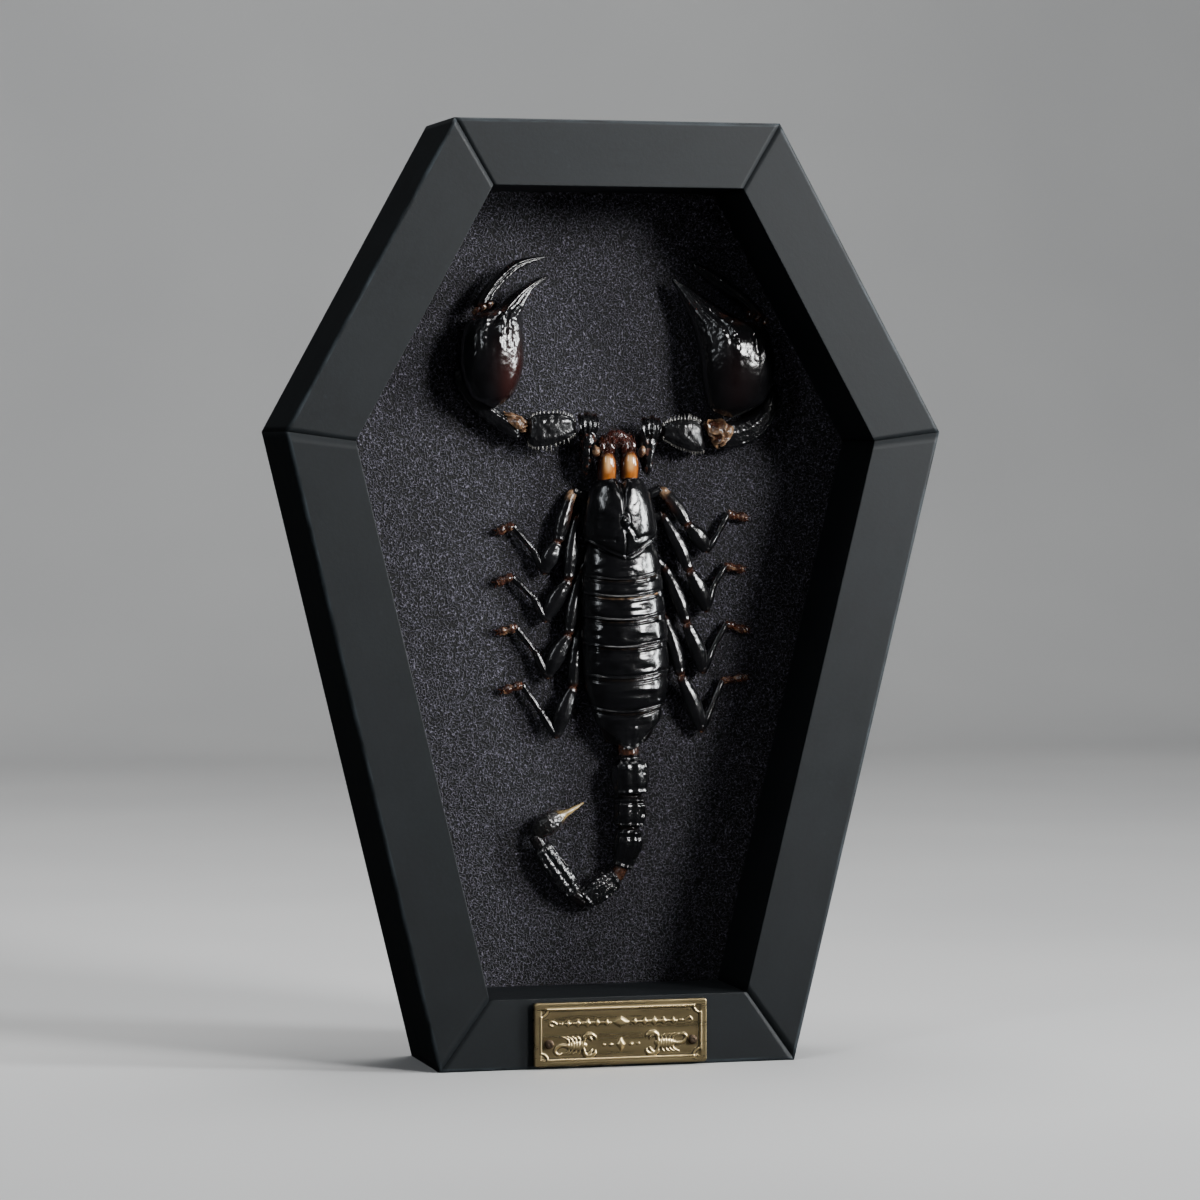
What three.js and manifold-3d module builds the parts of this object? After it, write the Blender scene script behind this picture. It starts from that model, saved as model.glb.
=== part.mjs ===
// A dried scorpion in a six-sided shadow box: a mitred timber frame, a fabric-lined back and a brass plaque.
// Millimetres, +Z up, front towards -Y, origin on the table under the middle of the frame.
import * as THREE from "three";
import { mergeVertices } from "three/addons/utils/BufferGeometryUtils.js";
import Module from "manifold-3d";

const wasm = await Module();
wasm.setup();

// Clearance kept between pieces that touch
const GAP = 0.3;

// Frame, seen from the front
const FRAME_HEIGHT = 200;
const SHOULDER_HEIGHT = 134.5;
const TOP_HALF_WIDTH = 35.5;
const SHOULDER_HALF_WIDTH = 71.5;
const FOOT_HALF_WIDTH = 39;
const RAIL_FACE = 14;
const SILL_FACE = 15;

// Frame, from front to back
const RAIL_DEPTH = 28;
const LIP_DEPTH = 22.5;
const REBATE_WIDTH = 4;
const FRONT_ARRIS = 0.6;
const BACK_ARRIS = 0.4;

// Backing, its fabric and the sprung tabs that hold it
const FABRIC_THICKNESS = 0.5;
const BOARD_THICKNESS = 2;
const BOARD_PLAY = 0.4;
const TAB_WIDTH = 7;
const TAB_LENGTH = 11;
const TAB_IN_RAIL = 3.5;
const TAB_THICKNESS = 0.4;

// Plaque and its rivets
const PLAQUE_WIDTH = 37.8;
const PLAQUE_HEIGHT = 13.5;
const PLAQUE_CENTRE_HEIGHT = 7.4;
const PLAQUE_THICKNESS = 1.2;
const PLAQUE_CORNER = 0.5;
const RELIEF = 0.35;
const RULE_INSET = 1.1;
const RULE_WIDTH = 0.4;
const RULE_SCOOP = 1.5;
const RIVET_SPACING = 31.4;
const RIVET_BELOW_CENTRE = 1.9;
const RIVET_HEAD_RADIUS = 1.05;
const RIVET_HEAD_HEIGHT = 0.7;
const RIVET_SHANK_RADIUS = 0.55;
const RIVET_SHANK_LENGTH = 6;
const RIVET_SHOULDER_RADIUS = 0.84;
const RIVET_SHOULDER_DROP = 0.12;
const RIVET_SIDES = 10;
const BORE_SIDES = 12;
const RELIEF_SINK = 0.1;
const CURVE_STEPS = 3;

// Lozenges raised from the plaque, as [across, up, half width, half height] about its middle
const LOZENGES = [
  [0, 2.3, 1.5, 0.9],
  [-7.2, 2.3, 5.2, 0.28],
  [7.2, 2.3, 5.2, 0.28],
  [0, -2.4, 1.0, 1.6],
];

// The small scorpion figures, head towards +x about their own middle. An arc is
// [across, up, outer radius, from angle, to angle, width].
const FIGURE_X = 9.8;
const FIGURE_Y = -2.4;
const FIGURE_BODY = { halfLength: 1.9, halfWidth: 0.75 };
const FIGURE_CLAWS_AND_TAIL = [
  [2.6, 1.2, 1.15, -1.7, 1.9, 0.45],
  [2.6, -1.2, 1.15, -1.9, 1.7, 0.45],
  [-2.6, -0.65, 1.05, 0.6, 4.6, 0.4],
];
const FIGURE_LEGS = { places: [-0.9, 0, 0.9], width: 0.3, length: 3.2 };

// Where the specimen lies: its head end, and how far its body leans from upright
const HEAD_X = 4.6;
const HEAD_HEIGHT = 124.5;
const BODY_LEAN = 2.6;

// Colours, roughness and metalness
const BLACK_PAINT = { color: 0x1c1f22, roughness: 0.55, metalness: 0 };
const BLACK_FABRIC = { color: 0x1a181e, roughness: 0.95, metalness: 0 };
const BOARD_BROWN = { color: 0x4a3a2a, roughness: 0.85, metalness: 0 };
const STEEL = { color: 0x9a9a98, roughness: 0.4, metalness: 1 };
const BRASS = { color: 0x8c7443, roughness: 0.4, metalness: 1 };
const RIVET_BRONZE = { color: 0x4a3626, roughness: 0.45, metalness: 1 };
const BLACK_SHELL = { color: 0x0b0b0d, roughness: 0.18, metalness: 0 };
const AMBER_SHELL = { color: 0x9a4e16, roughness: 0.2, metalness: 0 };
const STING_HORN = { color: 0x2a2118, roughness: 0.3, metalness: 0 };

const fabricFront = LIP_DEPTH + GAP;
const boardFront = fabricFront + FABRIC_THICKNESS + GAP;
const tabFront = boardFront + BOARD_THICKNESS + GAP;
const plaqueBack = -GAP;
const plaqueFront = plaqueBack - PLAQUE_THICKNESS;
const foremost = plaqueFront - RIVET_HEAD_HEIGHT;

// Points closer than this are one point
const WELD_DISTANCE = 1e-4;

// A geometry as a solid that can be joined and cut
function solid(geometry) {
  const bare = geometry.clone();
  bare.deleteAttribute("normal");
  bare.deleteAttribute("uv");
  const merged = mergeVertices(bare, WELD_DISTANCE);
  return new wasm.Manifold(
    new wasm.Mesh({
      numProp: 3,
      vertProperties: new Float32Array(merged.attributes.position.array),
      triVerts: new Uint32Array(merged.index.array),
    }),
  );
}

// A joined or cut solid as a geometry
function geometryOf(made) {
  const mesh = made.getMesh();
  const geometry = new THREE.BufferGeometry();
  geometry.setAttribute(
    "position",
    new THREE.BufferAttribute(new Float32Array(mesh.vertProperties), 3),
  );
  geometry.setIndex(new THREE.BufferAttribute(new Uint32Array(mesh.triVerts), 1));
  geometry.computeVertexNormals();
  return geometry;
}

function joined(geometries) {
  return geometryOf(geometries.map(solid).reduce((whole, piece) => whole.add(piece)));
}

function cut(geometry, tools) {
  return geometryOf(tools.map(solid).reduce((left, tool) => left.subtract(tool), solid(geometry)));
}

function named(name, geometry, finish) {
  const mesh = new THREE.Mesh(geometry, new THREE.MeshStandardMaterial(finish));
  mesh.name = name;
  return mesh;
}

// Frame outline, clockwise as seen from the front, starting at the foot of the right side
const outerCorners = [
  new THREE.Vector2(FOOT_HALF_WIDTH, 0),
  new THREE.Vector2(-FOOT_HALF_WIDTH, 0),
  new THREE.Vector2(-SHOULDER_HALF_WIDTH, SHOULDER_HEIGHT),
  new THREE.Vector2(-TOP_HALF_WIDTH, FRAME_HEIGHT),
  new THREE.Vector2(TOP_HALF_WIDTH, FRAME_HEIGHT),
  new THREE.Vector2(SHOULDER_HALF_WIDTH, SHOULDER_HEIGHT),
];
const railNames = ["bottom", "lower_left", "upper_left", "top", "upper_right", "lower_right"];
const railFaces = [SILL_FACE, RAIL_FACE, RAIL_FACE, RAIL_FACE, RAIL_FACE, RAIL_FACE];
const tabsOnRail = [1, 2, 1, 1, 1, 2];
const sides = outerCorners.length;

// The direction of side i and the direction from it into the opening
function sideAxes(i) {
  const along = outerCorners[(i + 1) % sides].clone().sub(outerCorners[i]).normalize();
  return { along, inward: new THREE.Vector2(along.y, -along.x) };
}

// Corner i of the outline moved inwards: where its two sides cross once each is moved by its own width
function insetCorner(i, widths) {
  const before = (i + sides - 1) % sides;
  const a = sideAxes(before);
  const b = sideAxes(i);
  const startA = outerCorners[before].clone().addScaledVector(a.inward, widths[before]);
  const startB = outerCorners[i].clone().addScaledVector(b.inward, widths[i]);
  const distance = startB.clone().sub(startA).dot(b.inward) / a.along.dot(b.inward);
  return startA.addScaledVector(a.along, distance);
}

// One rail: its section carried along its side, with both ends slid to meet the mitres
function railGeometry(i) {
  const face = railFaces[i];
  const start = outerCorners[i];
  const { along, inward } = sideAxes(i);
  const length = outerCorners[(i + 1) % sides].distanceTo(start);
  const startSlide = insetCorner(i, railFaces).sub(start).dot(along);
  const endSlide = length - insetCorner((i + 1) % sides, railFaces).sub(start).dot(along);
  const section = new THREE.Shape([
    new THREE.Vector2(FRONT_ARRIS, 0),
    new THREE.Vector2(face - FRONT_ARRIS, 0),
    new THREE.Vector2(face, FRONT_ARRIS),
    new THREE.Vector2(face, LIP_DEPTH),
    new THREE.Vector2(face - REBATE_WIDTH, LIP_DEPTH),
    new THREE.Vector2(face - REBATE_WIDTH, RAIL_DEPTH),
    new THREE.Vector2(BACK_ARRIS, RAIL_DEPTH),
    new THREE.Vector2(0, RAIL_DEPTH - BACK_ARRIS),
    new THREE.Vector2(0, FRONT_ARRIS),
  ]);
  const geometry = new THREE.ExtrudeGeometry(section, { depth: 1, bevelEnabled: false });
  const position = geometry.attributes.position;
  for (let k = 0; k < position.count; k++) {
    const across = position.getX(k);
    const share = across / face;
    const s = THREE.MathUtils.lerp(
      startSlide * share + GAP / 2,
      length - endSlide * share - GAP / 2,
      position.getZ(k),
    );
    const x = start.x + along.x * s + inward.x * across;
    const z = start.y + along.y * s + inward.y * across;
    position.setXYZ(k, x, position.getY(k), z);
  }
  return geometry;
}

// The middle of each tab on rail i, on the wall of the rebate, with the turn that points it inwards
function tabPlaces(i) {
  const { along, inward } = sideAxes(i);
  const length = outerCorners[(i + 1) % sides].distanceTo(outerCorners[i]);
  const count = tabsOnRail[i];
  return Array.from({ length: count }, (_, k) => {
    const wall = outerCorners[i]
      .clone()
      .addScaledVector(along, (length * (k + 1)) / (count + 1))
      .addScaledVector(inward, railFaces[i] - REBATE_WIDTH);
    return { wall, turn: -Math.atan2(inward.y, inward.x) };
  });
}

// A flat box that reaches inwards from the rebate's wall and a little way into the rail
function tabBox(place, width, length, depth, front) {
  const box = new THREE.BoxGeometry(length, depth, width);
  box.translate(length / 2 - TAB_IN_RAIL, 0, 0);
  box.rotateY(place.turn);
  box.translate(place.wall.x, front + depth / 2, place.wall.y);
  return box;
}

function hexagonPlate(widths, front, thickness) {
  const corners = outerCorners.map((_, i) => insetCorner(i, widths));
  const geometry = new THREE.ExtrudeGeometry(new THREE.Shape(corners), {
    depth: thickness,
    bevelEnabled: false,
  });
  geometry.rotateX(Math.PI / 2);
  geometry.translate(0, front + thickness, 0);
  return geometry;
}

// Frame, fabric, board and tabs
function makeBox() {
  const box = new THREE.Group();
  const rivetBores = [-1, 1].map((side) => {
    const bore = new THREE.CylinderGeometry(
      RIVET_SHANK_RADIUS + GAP,
      RIVET_SHANK_RADIUS + GAP,
      2 * RIVET_SHANK_LENGTH,
      BORE_SIDES,
    );
    bore.translate((side * RIVET_SPACING) / 2, 0, PLAQUE_CENTRE_HEIGHT - RIVET_BELOW_CENTRE);
    return bore;
  });
  railNames.forEach((railName, i) => {
    const slots = tabPlaces(i).map((place) =>
      tabBox(
        place,
        TAB_WIDTH + 2 * GAP,
        TAB_IN_RAIL + 2 * GAP,
        TAB_THICKNESS + 2 * GAP,
        tabFront - GAP,
      ).translate(-GAP * sideAxes(i).inward.x, 0, -GAP * sideAxes(i).inward.y),
    );
    const tools = railName === "bottom" ? [...slots, ...rivetBores] : slots;
    box.add(named("rail_" + railName, cut(railGeometry(i), tools), BLACK_PAINT));
    tabPlaces(i).forEach((place, k) => {
      const name = "tab_" + railName + (tabsOnRail[i] > 1 ? "_" + (k + 1) : "");
      box.add(named(name, tabBox(place, TAB_WIDTH, TAB_LENGTH, TAB_THICKNESS, tabFront), STEEL));
    });
  });
  const panelInsets = railFaces.map((face) => face - REBATE_WIDTH + BOARD_PLAY);
  box.add(
    named("fabric_lining", hexagonPlate(panelInsets, fabricFront, FABRIC_THICKNESS), BLACK_FABRIC),
  );
  box.add(named("back_board", hexagonPlate(panelInsets, boardFront, BOARD_THICKNESS), BOARD_BROWN));
  return box;
}

// A flat outline raised from the plaque's face, sunk a little so that it fuses with the plate
function raised(shape) {
  const geometry = new THREE.ExtrudeGeometry(shape, {
    depth: RELIEF + RELIEF_SINK,
    bevelEnabled: false,
    curveSegments: CURVE_STEPS,
  });
  geometry.translate(0, 0, PLAQUE_THICKNESS - RELIEF_SINK);
  return geometry;
}

// A rectangle about the middle whose corners are scooped out by quarter circles
function scoopedOutline(width, height, scoop) {
  const x = width / 2;
  const y = height / 2;
  const outline = new THREE.Path();
  outline.moveTo(-x + scoop, -y);
  outline.lineTo(x - scoop, -y);
  outline.absarc(x, -y, scoop, Math.PI, Math.PI / 2, true);
  outline.lineTo(x, y - scoop);
  outline.absarc(x, y, scoop, -Math.PI / 2, Math.PI, true);
  outline.lineTo(-x + scoop, y);
  outline.absarc(-x, y, scoop, 0, -Math.PI / 2, true);
  outline.lineTo(-x, -y + scoop);
  outline.absarc(-x, -y, scoop, Math.PI / 2, 0, true);
  return outline;
}

// A crescent: the part between an outer arc and an inner arc with the same ends
function crescent(x, y, radius, from, to, width) {
  const shape = new THREE.Shape();
  shape.absarc(x, y, radius, from, to, false);
  shape.absarc(x, y, radius - width, to, from, true);
  return shape;
}

// A small scorpion figure. Facing is 1 when its head is towards +x and -1 when it is towards -x.
function figureGeometries(facing) {
  const at = (x) => facing * (x - FIGURE_X);
  const arcs = FIGURE_CLAWS_AND_TAIL.map(([x, y, radius, from, to, width]) =>
    facing > 0
      ? crescent(at(x), FIGURE_Y + y, radius, from, to, width)
      : crescent(at(x), FIGURE_Y + y, radius, Math.PI - to, Math.PI - from, width),
  );
  const body = new THREE.Shape();
  const { halfLength, halfWidth } = FIGURE_BODY;
  body.absellipse(at(0), FIGURE_Y, halfLength, halfWidth, 0, 2 * Math.PI, false);
  const legs = FIGURE_LEGS.places.map((x) => {
    const thickness = RELIEF + RELIEF_SINK;
    const leg = new THREE.BoxGeometry(FIGURE_LEGS.width, FIGURE_LEGS.length, thickness);
    leg.translate(at(x), FIGURE_Y, PLAQUE_THICKNESS + RELIEF - thickness / 2);
    return leg;
  });
  return [...[body, ...arcs].map(raised), ...legs];
}

// The plaque, drawn face up with its back on z = 0, then stood up on the bottom rail
function makePlaque() {
  const x = PLAQUE_WIDTH / 2 - PLAQUE_CORNER;
  const y = PLAQUE_HEIGHT / 2 - PLAQUE_CORNER;
  const outline = new THREE.Shape();
  outline.absarc(x, y, PLAQUE_CORNER, 0, Math.PI / 2, false);
  outline.absarc(-x, y, PLAQUE_CORNER, Math.PI / 2, Math.PI, false);
  outline.absarc(-x, -y, PLAQUE_CORNER, Math.PI, 1.5 * Math.PI, false);
  outline.absarc(x, -y, PLAQUE_CORNER, 1.5 * Math.PI, 2 * Math.PI, false);
  for (const side of [-1, 1]) {
    const hole = new THREE.Path();
    const holeX = (side * RIVET_SPACING) / 2;
    hole.absarc(holeX, -RIVET_BELOW_CENTRE, RIVET_SHANK_RADIUS + GAP, 0, 2 * Math.PI, true);
    outline.holes.push(hole);
  }
  const plate = new THREE.ExtrudeGeometry(outline, {
    depth: PLAQUE_THICKNESS,
    bevelEnabled: false,
    curveSegments: CURVE_STEPS,
  });

  const ruleWidth = PLAQUE_WIDTH - 2 * RULE_INSET;
  const ruleHeight = PLAQUE_HEIGHT - 2 * RULE_INSET;
  const outer = scoopedOutline(ruleWidth, ruleHeight, RULE_SCOOP);
  const rule = new THREE.Shape(outer.getPoints(CURVE_STEPS));
  const innerScoop = RULE_SCOOP + RULE_WIDTH / 2;
  const inner = scoopedOutline(ruleWidth - 2 * RULE_WIDTH, ruleHeight - 2 * RULE_WIDTH, innerScoop);
  rule.holes.push(new THREE.Path(inner.getPoints(CURVE_STEPS)));

  const ornament = LOZENGES.map(
    ([centreX, centreY, halfWidth, halfHeight]) =>
      new THREE.Shape([
        new THREE.Vector2(centreX + halfWidth, centreY),
        new THREE.Vector2(centreX, centreY + halfHeight),
        new THREE.Vector2(centreX - halfWidth, centreY),
        new THREE.Vector2(centreX, centreY - halfHeight),
      ]),
  );
  const figures = [...figureGeometries(1), ...figureGeometries(-1)];
  const plaqueGeometry = joined([plate, ...[rule, ...ornament].map(raised), ...figures]);
  const group = new THREE.Group();
  group.position.set(0, plaqueBack, PLAQUE_CENTRE_HEIGHT);
  group.rotation.x = Math.PI / 2;
  group.add(named("plaque", plaqueGeometry, BRASS));

  for (const side of [-1, 1]) {
    const dome = new THREE.Vector2(RIVET_HEAD_RADIUS, PLAQUE_THICKNESS + GAP);
    const headTop = PLAQUE_THICKNESS + RIVET_HEAD_HEIGHT;
    const profile = [
      new THREE.Vector2(0, PLAQUE_THICKNESS - RIVET_SHANK_LENGTH),
      new THREE.Vector2(RIVET_SHANK_RADIUS, PLAQUE_THICKNESS - RIVET_SHANK_LENGTH + GAP),
      new THREE.Vector2(RIVET_SHANK_RADIUS, dome.y),
      dome,
      new THREE.Vector2(RIVET_SHOULDER_RADIUS, headTop - RIVET_SHOULDER_DROP),
      new THREE.Vector2(0, headTop),
    ];
    const rivet = named(
      side < 0 ? "rivet_left" : "rivet_right",
      new THREE.LatheGeometry(profile, RIVET_SIDES),
      RIVET_BRONZE,
    );
    rivet.rotation.x = Math.PI / 2;
    rivet.position.set((side * RIVET_SPACING) / 2, -RIVET_BELOW_CENTRE, 0);
    group.add(rivet);
  }
  return group;
}

// Everything from here on is the specimen, lying on z = 0 with +z towards the viewer and +y up the frame.

// A closed skin over rings of points from one end to the other, drawn to a point beyond each end
function skin(rings, firstTip, lastTip) {
  const round = rings[0].length;
  const points = [...rings.flat(), firstTip, lastTip];
  const first = points.length - 2;
  const last = points.length - 1;
  const end = (rings.length - 1) * round;
  const index = [];
  for (let i = 0; i < round; i++) {
    const next = (i + 1) % round;
    index.push(first, next, i, last, end + i, end + next);
    for (let k = 0; k < end; k += round) {
      index.push(k + i, k + next, k + round + next, k + i, k + round + next, k + round + i);
    }
  }
  const geometry = new THREE.BufferGeometry().setFromPoints(points);
  geometry.setIndex(index);
  geometry.computeVertexNormals();
  return geometry;
}

function middleOf(points) {
  const sum = points.reduce((total, point) => total.add(point), new THREE.Vector3());
  return sum.divideScalar(points.length);
}

// How far the tip of a swollen piece stands beyond its last ring
const END_BULGE = 0.3;

// A flattened piece swollen between its two edges. Each station is
// [left x, left y, right x, right y, underside, top], left being on the left hand from base to tip.
// Swelling makes the clearance that a neighbour is cut by.
function between(stations, rows, round, swelling = 0) {
  const left = new THREE.CatmullRomCurve3(
    stations.map(([x, y, , , underside]) => new THREE.Vector3(x, y, underside)),
  );
  const right = new THREE.CatmullRomCurve3(
    stations.map(([, , x, y, , top]) => new THREE.Vector3(x, y, top)),
  );
  const rings = [];
  for (let k = 0; k <= rows; k++) {
    const a = left.getPoint(k / rows);
    const b = right.getPoint(k / rows);
    const halfX = (a.x - b.x) / 2;
    const halfY = (a.y - b.y) / 2;
    const stretch = 1 + swelling / Math.hypot(halfX, halfY);
    const rise = (b.z - a.z) / 2 + swelling;
    const ring = [];
    for (let i = 0; i < round; i++) {
      const angle = (2 * Math.PI * i) / round;
      const across = stretch * Math.cos(angle);
      ring.push(
        new THREE.Vector3(
          (a.x + b.x) / 2 + halfX * across,
          (a.y + b.y) / 2 + halfY * across,
          (a.z + b.z) / 2 + rise * Math.sin(angle),
        ),
      );
    }
    rings.push(ring);
  }
  const centres = rings.map(middleOf);
  const beyond = (from, to) => {
    const ahead = to.clone().sub(from).normalize();
    return to.clone().addScaledVector(ahead, END_BULGE + swelling);
  };
  return skin(rings, beyond(centres[1], centres[0]), beyond(centres.at(-2), centres.at(-1)));
}

// A limb of changing thickness along a path of [x, y, height], with keels at the corners of its section
function limb(path, halfWidths, halfHeights, round, keel = 0) {
  const curve = new THREE.CatmullRomCurve3(path.map((point) => new THREE.Vector3(...point)));
  const rows = halfWidths.length - 1;
  const rings = halfWidths.map((halfWidth, k) => {
    const centre = curve.getPoint(k / rows);
    const ahead = curve.getTangent(k / rows);
    const side = new THREE.Vector3(-ahead.y, ahead.x, 0).normalize();
    const up = new THREE.Vector3().crossVectors(ahead, side);
    return Array.from({ length: round }, (_, i) => {
      const angle = (2 * Math.PI * i) / round;
      const bulge = 1 + keel * Math.abs(Math.sin(2 * angle));
      return centre
        .clone()
        .addScaledVector(side, halfWidth * bulge * Math.cos(angle))
        .addScaledVector(up, halfHeights[k] * bulge * Math.sin(angle));
    });
  });
  return skin(rings, curve.getPoint(0), curve.getPoint(1));
}

// The points of a straight or bent limb, run on past both ends so that it fuses with what it meets
function runOn(points, distance) {
  const vectors = points.map((point) => new THREE.Vector3(...point));
  const first = vectors[0].clone().sub(vectors[1]).setLength(distance).add(vectors[0]);
  const last = vectors.at(-1).clone().sub(vectors.at(-2)).setLength(distance).add(vectors.at(-1));
  return [first, ...vectors.slice(1, -1), last].map((vector) => vector.toArray());
}

// Trunk: how far the head shield reaches back at its sides and middle, and the height of the trunk's rim
const CARAPACE_SIDE_LENGTH = 13;
const CARAPACE_MIDDLE_LENGTH = 17.4;
const TRUNK_RIM = 4.6;

// The trunk's section: a high power makes its back flatter, a low one makes its sides steeper
const ARCH_POWER = 2.4;
const SIDE_POWER = 0.6;

// Furrow down the head shield, its share of the half width, and how much of it is lost by the rear
const FURROW_DEPTH = 1.1;
const FURROW_WIDTH = 0.1;
const FURROW_FADE = 0.5;

// Front edge of the head shield: its reach, the notch in its middle, and how far its corners fall back
const FRONT_REACH = 0.3;
const NOTCH_DEPTH = 1.3;
const NOTCH_WIDTH = 0.22;
const CORNER_FALL = 1.2;

// Eye mound: its place, half sizes, and how finely it is drawn
const EYE_MOUND = { across: 0.4, along: 9, height: 9.1 };
const EYE_MOUND_HALVES = [0.9, 1.5, 0.7];
const EYE_MOUND_SIDES = 8;
const EYE_MOUND_ROWS = 5;

// How far along, how wide and how high the trunk is at each station
const carapaceStations = [
  { along: 0, half: 5.6, top: 7.0, under: 3.4 },
  { along: 0.08, half: 6.2, top: 8.0, under: 2.8 },
  { along: 0.3, half: 7.1, top: 9.1, under: 2.6 },
  { along: 0.6, half: 7.9, top: 9.5, under: 2.6 },
  { along: 0.9, half: 8.3, top: 9.1, under: 2.6 },
  { along: 1, half: 8.2, top: 8.4, under: 3.0 },
];
const tergiteRears = [21.8, 25.6, 30.6, 36.5, 43.2, 50.6, 58.6];
const abdomenShape = [
  { at: 13, half: 8.2, top: 8.7, under: 2.8 },
  { at: 25, half: 9.1, top: 9.3, under: 2.6 },
  { at: 36, half: 9.6, top: 9.3, under: 2.5 },
  { at: 44, half: 9.4, top: 8.7, under: 2.3 },
  { at: 51, half: 7.6, top: 7.4, under: 2.0 },
  { at: 58.6, half: 4.9, top: 5.9, under: 1.8 },
];

// Back plates: how far the middle of a rear edge stands behind its ends, the step down to the next
// plate, how much lower a plate's middle is than its rear, and the length of the step
const PLATE_BOW = 0.7;
const PLATE_STEP = 0.45;
const PLATE_DIP = 0.1;
const STEP_LENGTH = 0.1;

function shapeAt(distance, key) {
  const next = Math.max(
    1,
    abdomenShape.findIndex((station) => station.at >= distance),
  );
  const a = abdomenShape[next - 1];
  const b = abdomenShape[next];
  return THREE.MathUtils.mapLinear(distance, a.at, b.at, a[key], b[key]);
}

// Places across the trunk from its right edge over the back to its left edge, then under the belly
const overBack = [1, 0.93, 0.75, 0.5, 0.25, 0.08, 0, -0.08, -0.25, -0.5, -0.75, -0.93, -1];
const underBelly = [-0.8, 0, 0.8];

// One ring of the trunk. The back is a flattened arch; alongAt gives each point's place along the body.
function trunkRing(half, top, under, furrow, alongAt) {
  const arch = overBack.map((t) => {
    const rise = (1 - Math.abs(t) ** ARCH_POWER) ** SIDE_POWER;
    const groove = furrow * Math.exp(-((t / FURROW_WIDTH) ** 2));
    return new THREE.Vector3(half * t, -alongAt(t), TRUNK_RIM + (top - TRUNK_RIM) * rise - groove);
  });
  const belly = underBelly.map((t) => new THREE.Vector3(half * t, -alongAt(t), under));
  return [...arch, ...belly];
}

function carapaceGeometry() {
  const front = (t) =>
    NOTCH_DEPTH * Math.exp(-((t / NOTCH_WIDTH) ** 2)) + CORNER_FALL * t ** 4 - FRONT_REACH;
  const rear = (t) =>
    CARAPACE_SIDE_LENGTH + (CARAPACE_MIDDLE_LENGTH - CARAPACE_SIDE_LENGTH) * (1 - Math.abs(t));
  const rings = carapaceStations.map(({ along, half, top, under }) =>
    trunkRing(half, top, under, FURROW_DEPTH * (1 - FURROW_FADE * along), (t) =>
      THREE.MathUtils.lerp(front(t), rear(t), along),
    ),
  );
  const shell = skin(rings, middleOf(rings[0]), middleOf(rings.at(-1)));
  const eyeMound = new THREE.SphereGeometry(1, EYE_MOUND_SIDES, EYE_MOUND_ROWS);
  eyeMound.scale(...EYE_MOUND_HALVES);
  eyeMound.translate(EYE_MOUND.across, -EYE_MOUND.along, EYE_MOUND.height);
  return joined([shell, eyeMound]);
}

function abdomenGeometry() {
  const frontLip = CARAPACE_SIDE_LENGTH + GAP;
  const rings = [];
  tergiteRears.forEach((rear, k) => {
    const front = k === 0 ? frontLip : tergiteRears[k - 1];
    const bowFront = k === 0 ? CARAPACE_MIDDLE_LENGTH - CARAPACE_SIDE_LENGTH : PLATE_BOW;
    const clearance = k === 0 ? GAP : STEP_LENGTH;
    const places = [
      { at: front + clearance, bow: bowFront, drop: PLATE_STEP },
      { at: (front + rear) / 2, bow: (bowFront + PLATE_BOW) / 2, drop: PLATE_DIP },
      { at: rear - PLATE_BOW, bow: PLATE_BOW, drop: 0 },
    ];
    for (const { at, bow, drop } of places) {
      rings.push(
        trunkRing(
          shapeAt(at, "half") - drop,
          shapeAt(at, "top") - drop,
          shapeAt(at, "under"),
          0,
          (t) => at + bow * (1 - Math.abs(t)),
        ),
      );
    }
  });
  return skin(rings, middleOf(rings[0]), middleOf(rings.at(-1)));
}

// Jaws: the barrel's edges, then one finger's path, with its distance to each side and its lean
const JAW_TO_MIDDLE = 2.5;
const JAW_ROWS = 4;
const JAW_SIDES = 8;
const jawStations = [
  [-2.0, 0.9, 2.0, 0.9, 3.6, 6.6],
  [-2.3, 2.2, 2.2, 2.2, 3.0, 8.0],
  [-2.1, 4.6, 2.1, 4.6, 3.0, 8.2],
  [-1.4, 6.4, 1.5, 6.4, 3.4, 7.2],
];
const JAW_FINGER = { offset: 0.8, leans: [0, 0.25, 0.55], sides: 6 };
const jawFingerPlaces = [
  { along: 5.6, height: 5.4, half: 0.9 },
  { along: 8.0, height: 5.2, half: 0.7 },
  { along: 9.8, height: 4.6, half: 0.2 },
];

// A jaw: a swollen amber barrel with a short pair of fingers that curve towards each other
function jawGeometry(side) {
  const halves = jawFingerPlaces.map(({ half }) => half);
  const fingers = [-1, 1].map((hand) => {
    const path = jawFingerPlaces.map(({ along, height }, k) => {
      const across = hand * (JAW_FINGER.offset - JAW_FINGER.leans[k]);
      return [across, along, height];
    });
    return limb(path, halves, halves, JAW_FINGER.sides);
  });
  const geometry = joined([between(jawStations, JAW_ROWS, JAW_SIDES), ...fingers]);
  geometry.translate(side * JAW_TO_MIDDLE, 0, 0);
  return geometry;
}

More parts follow.
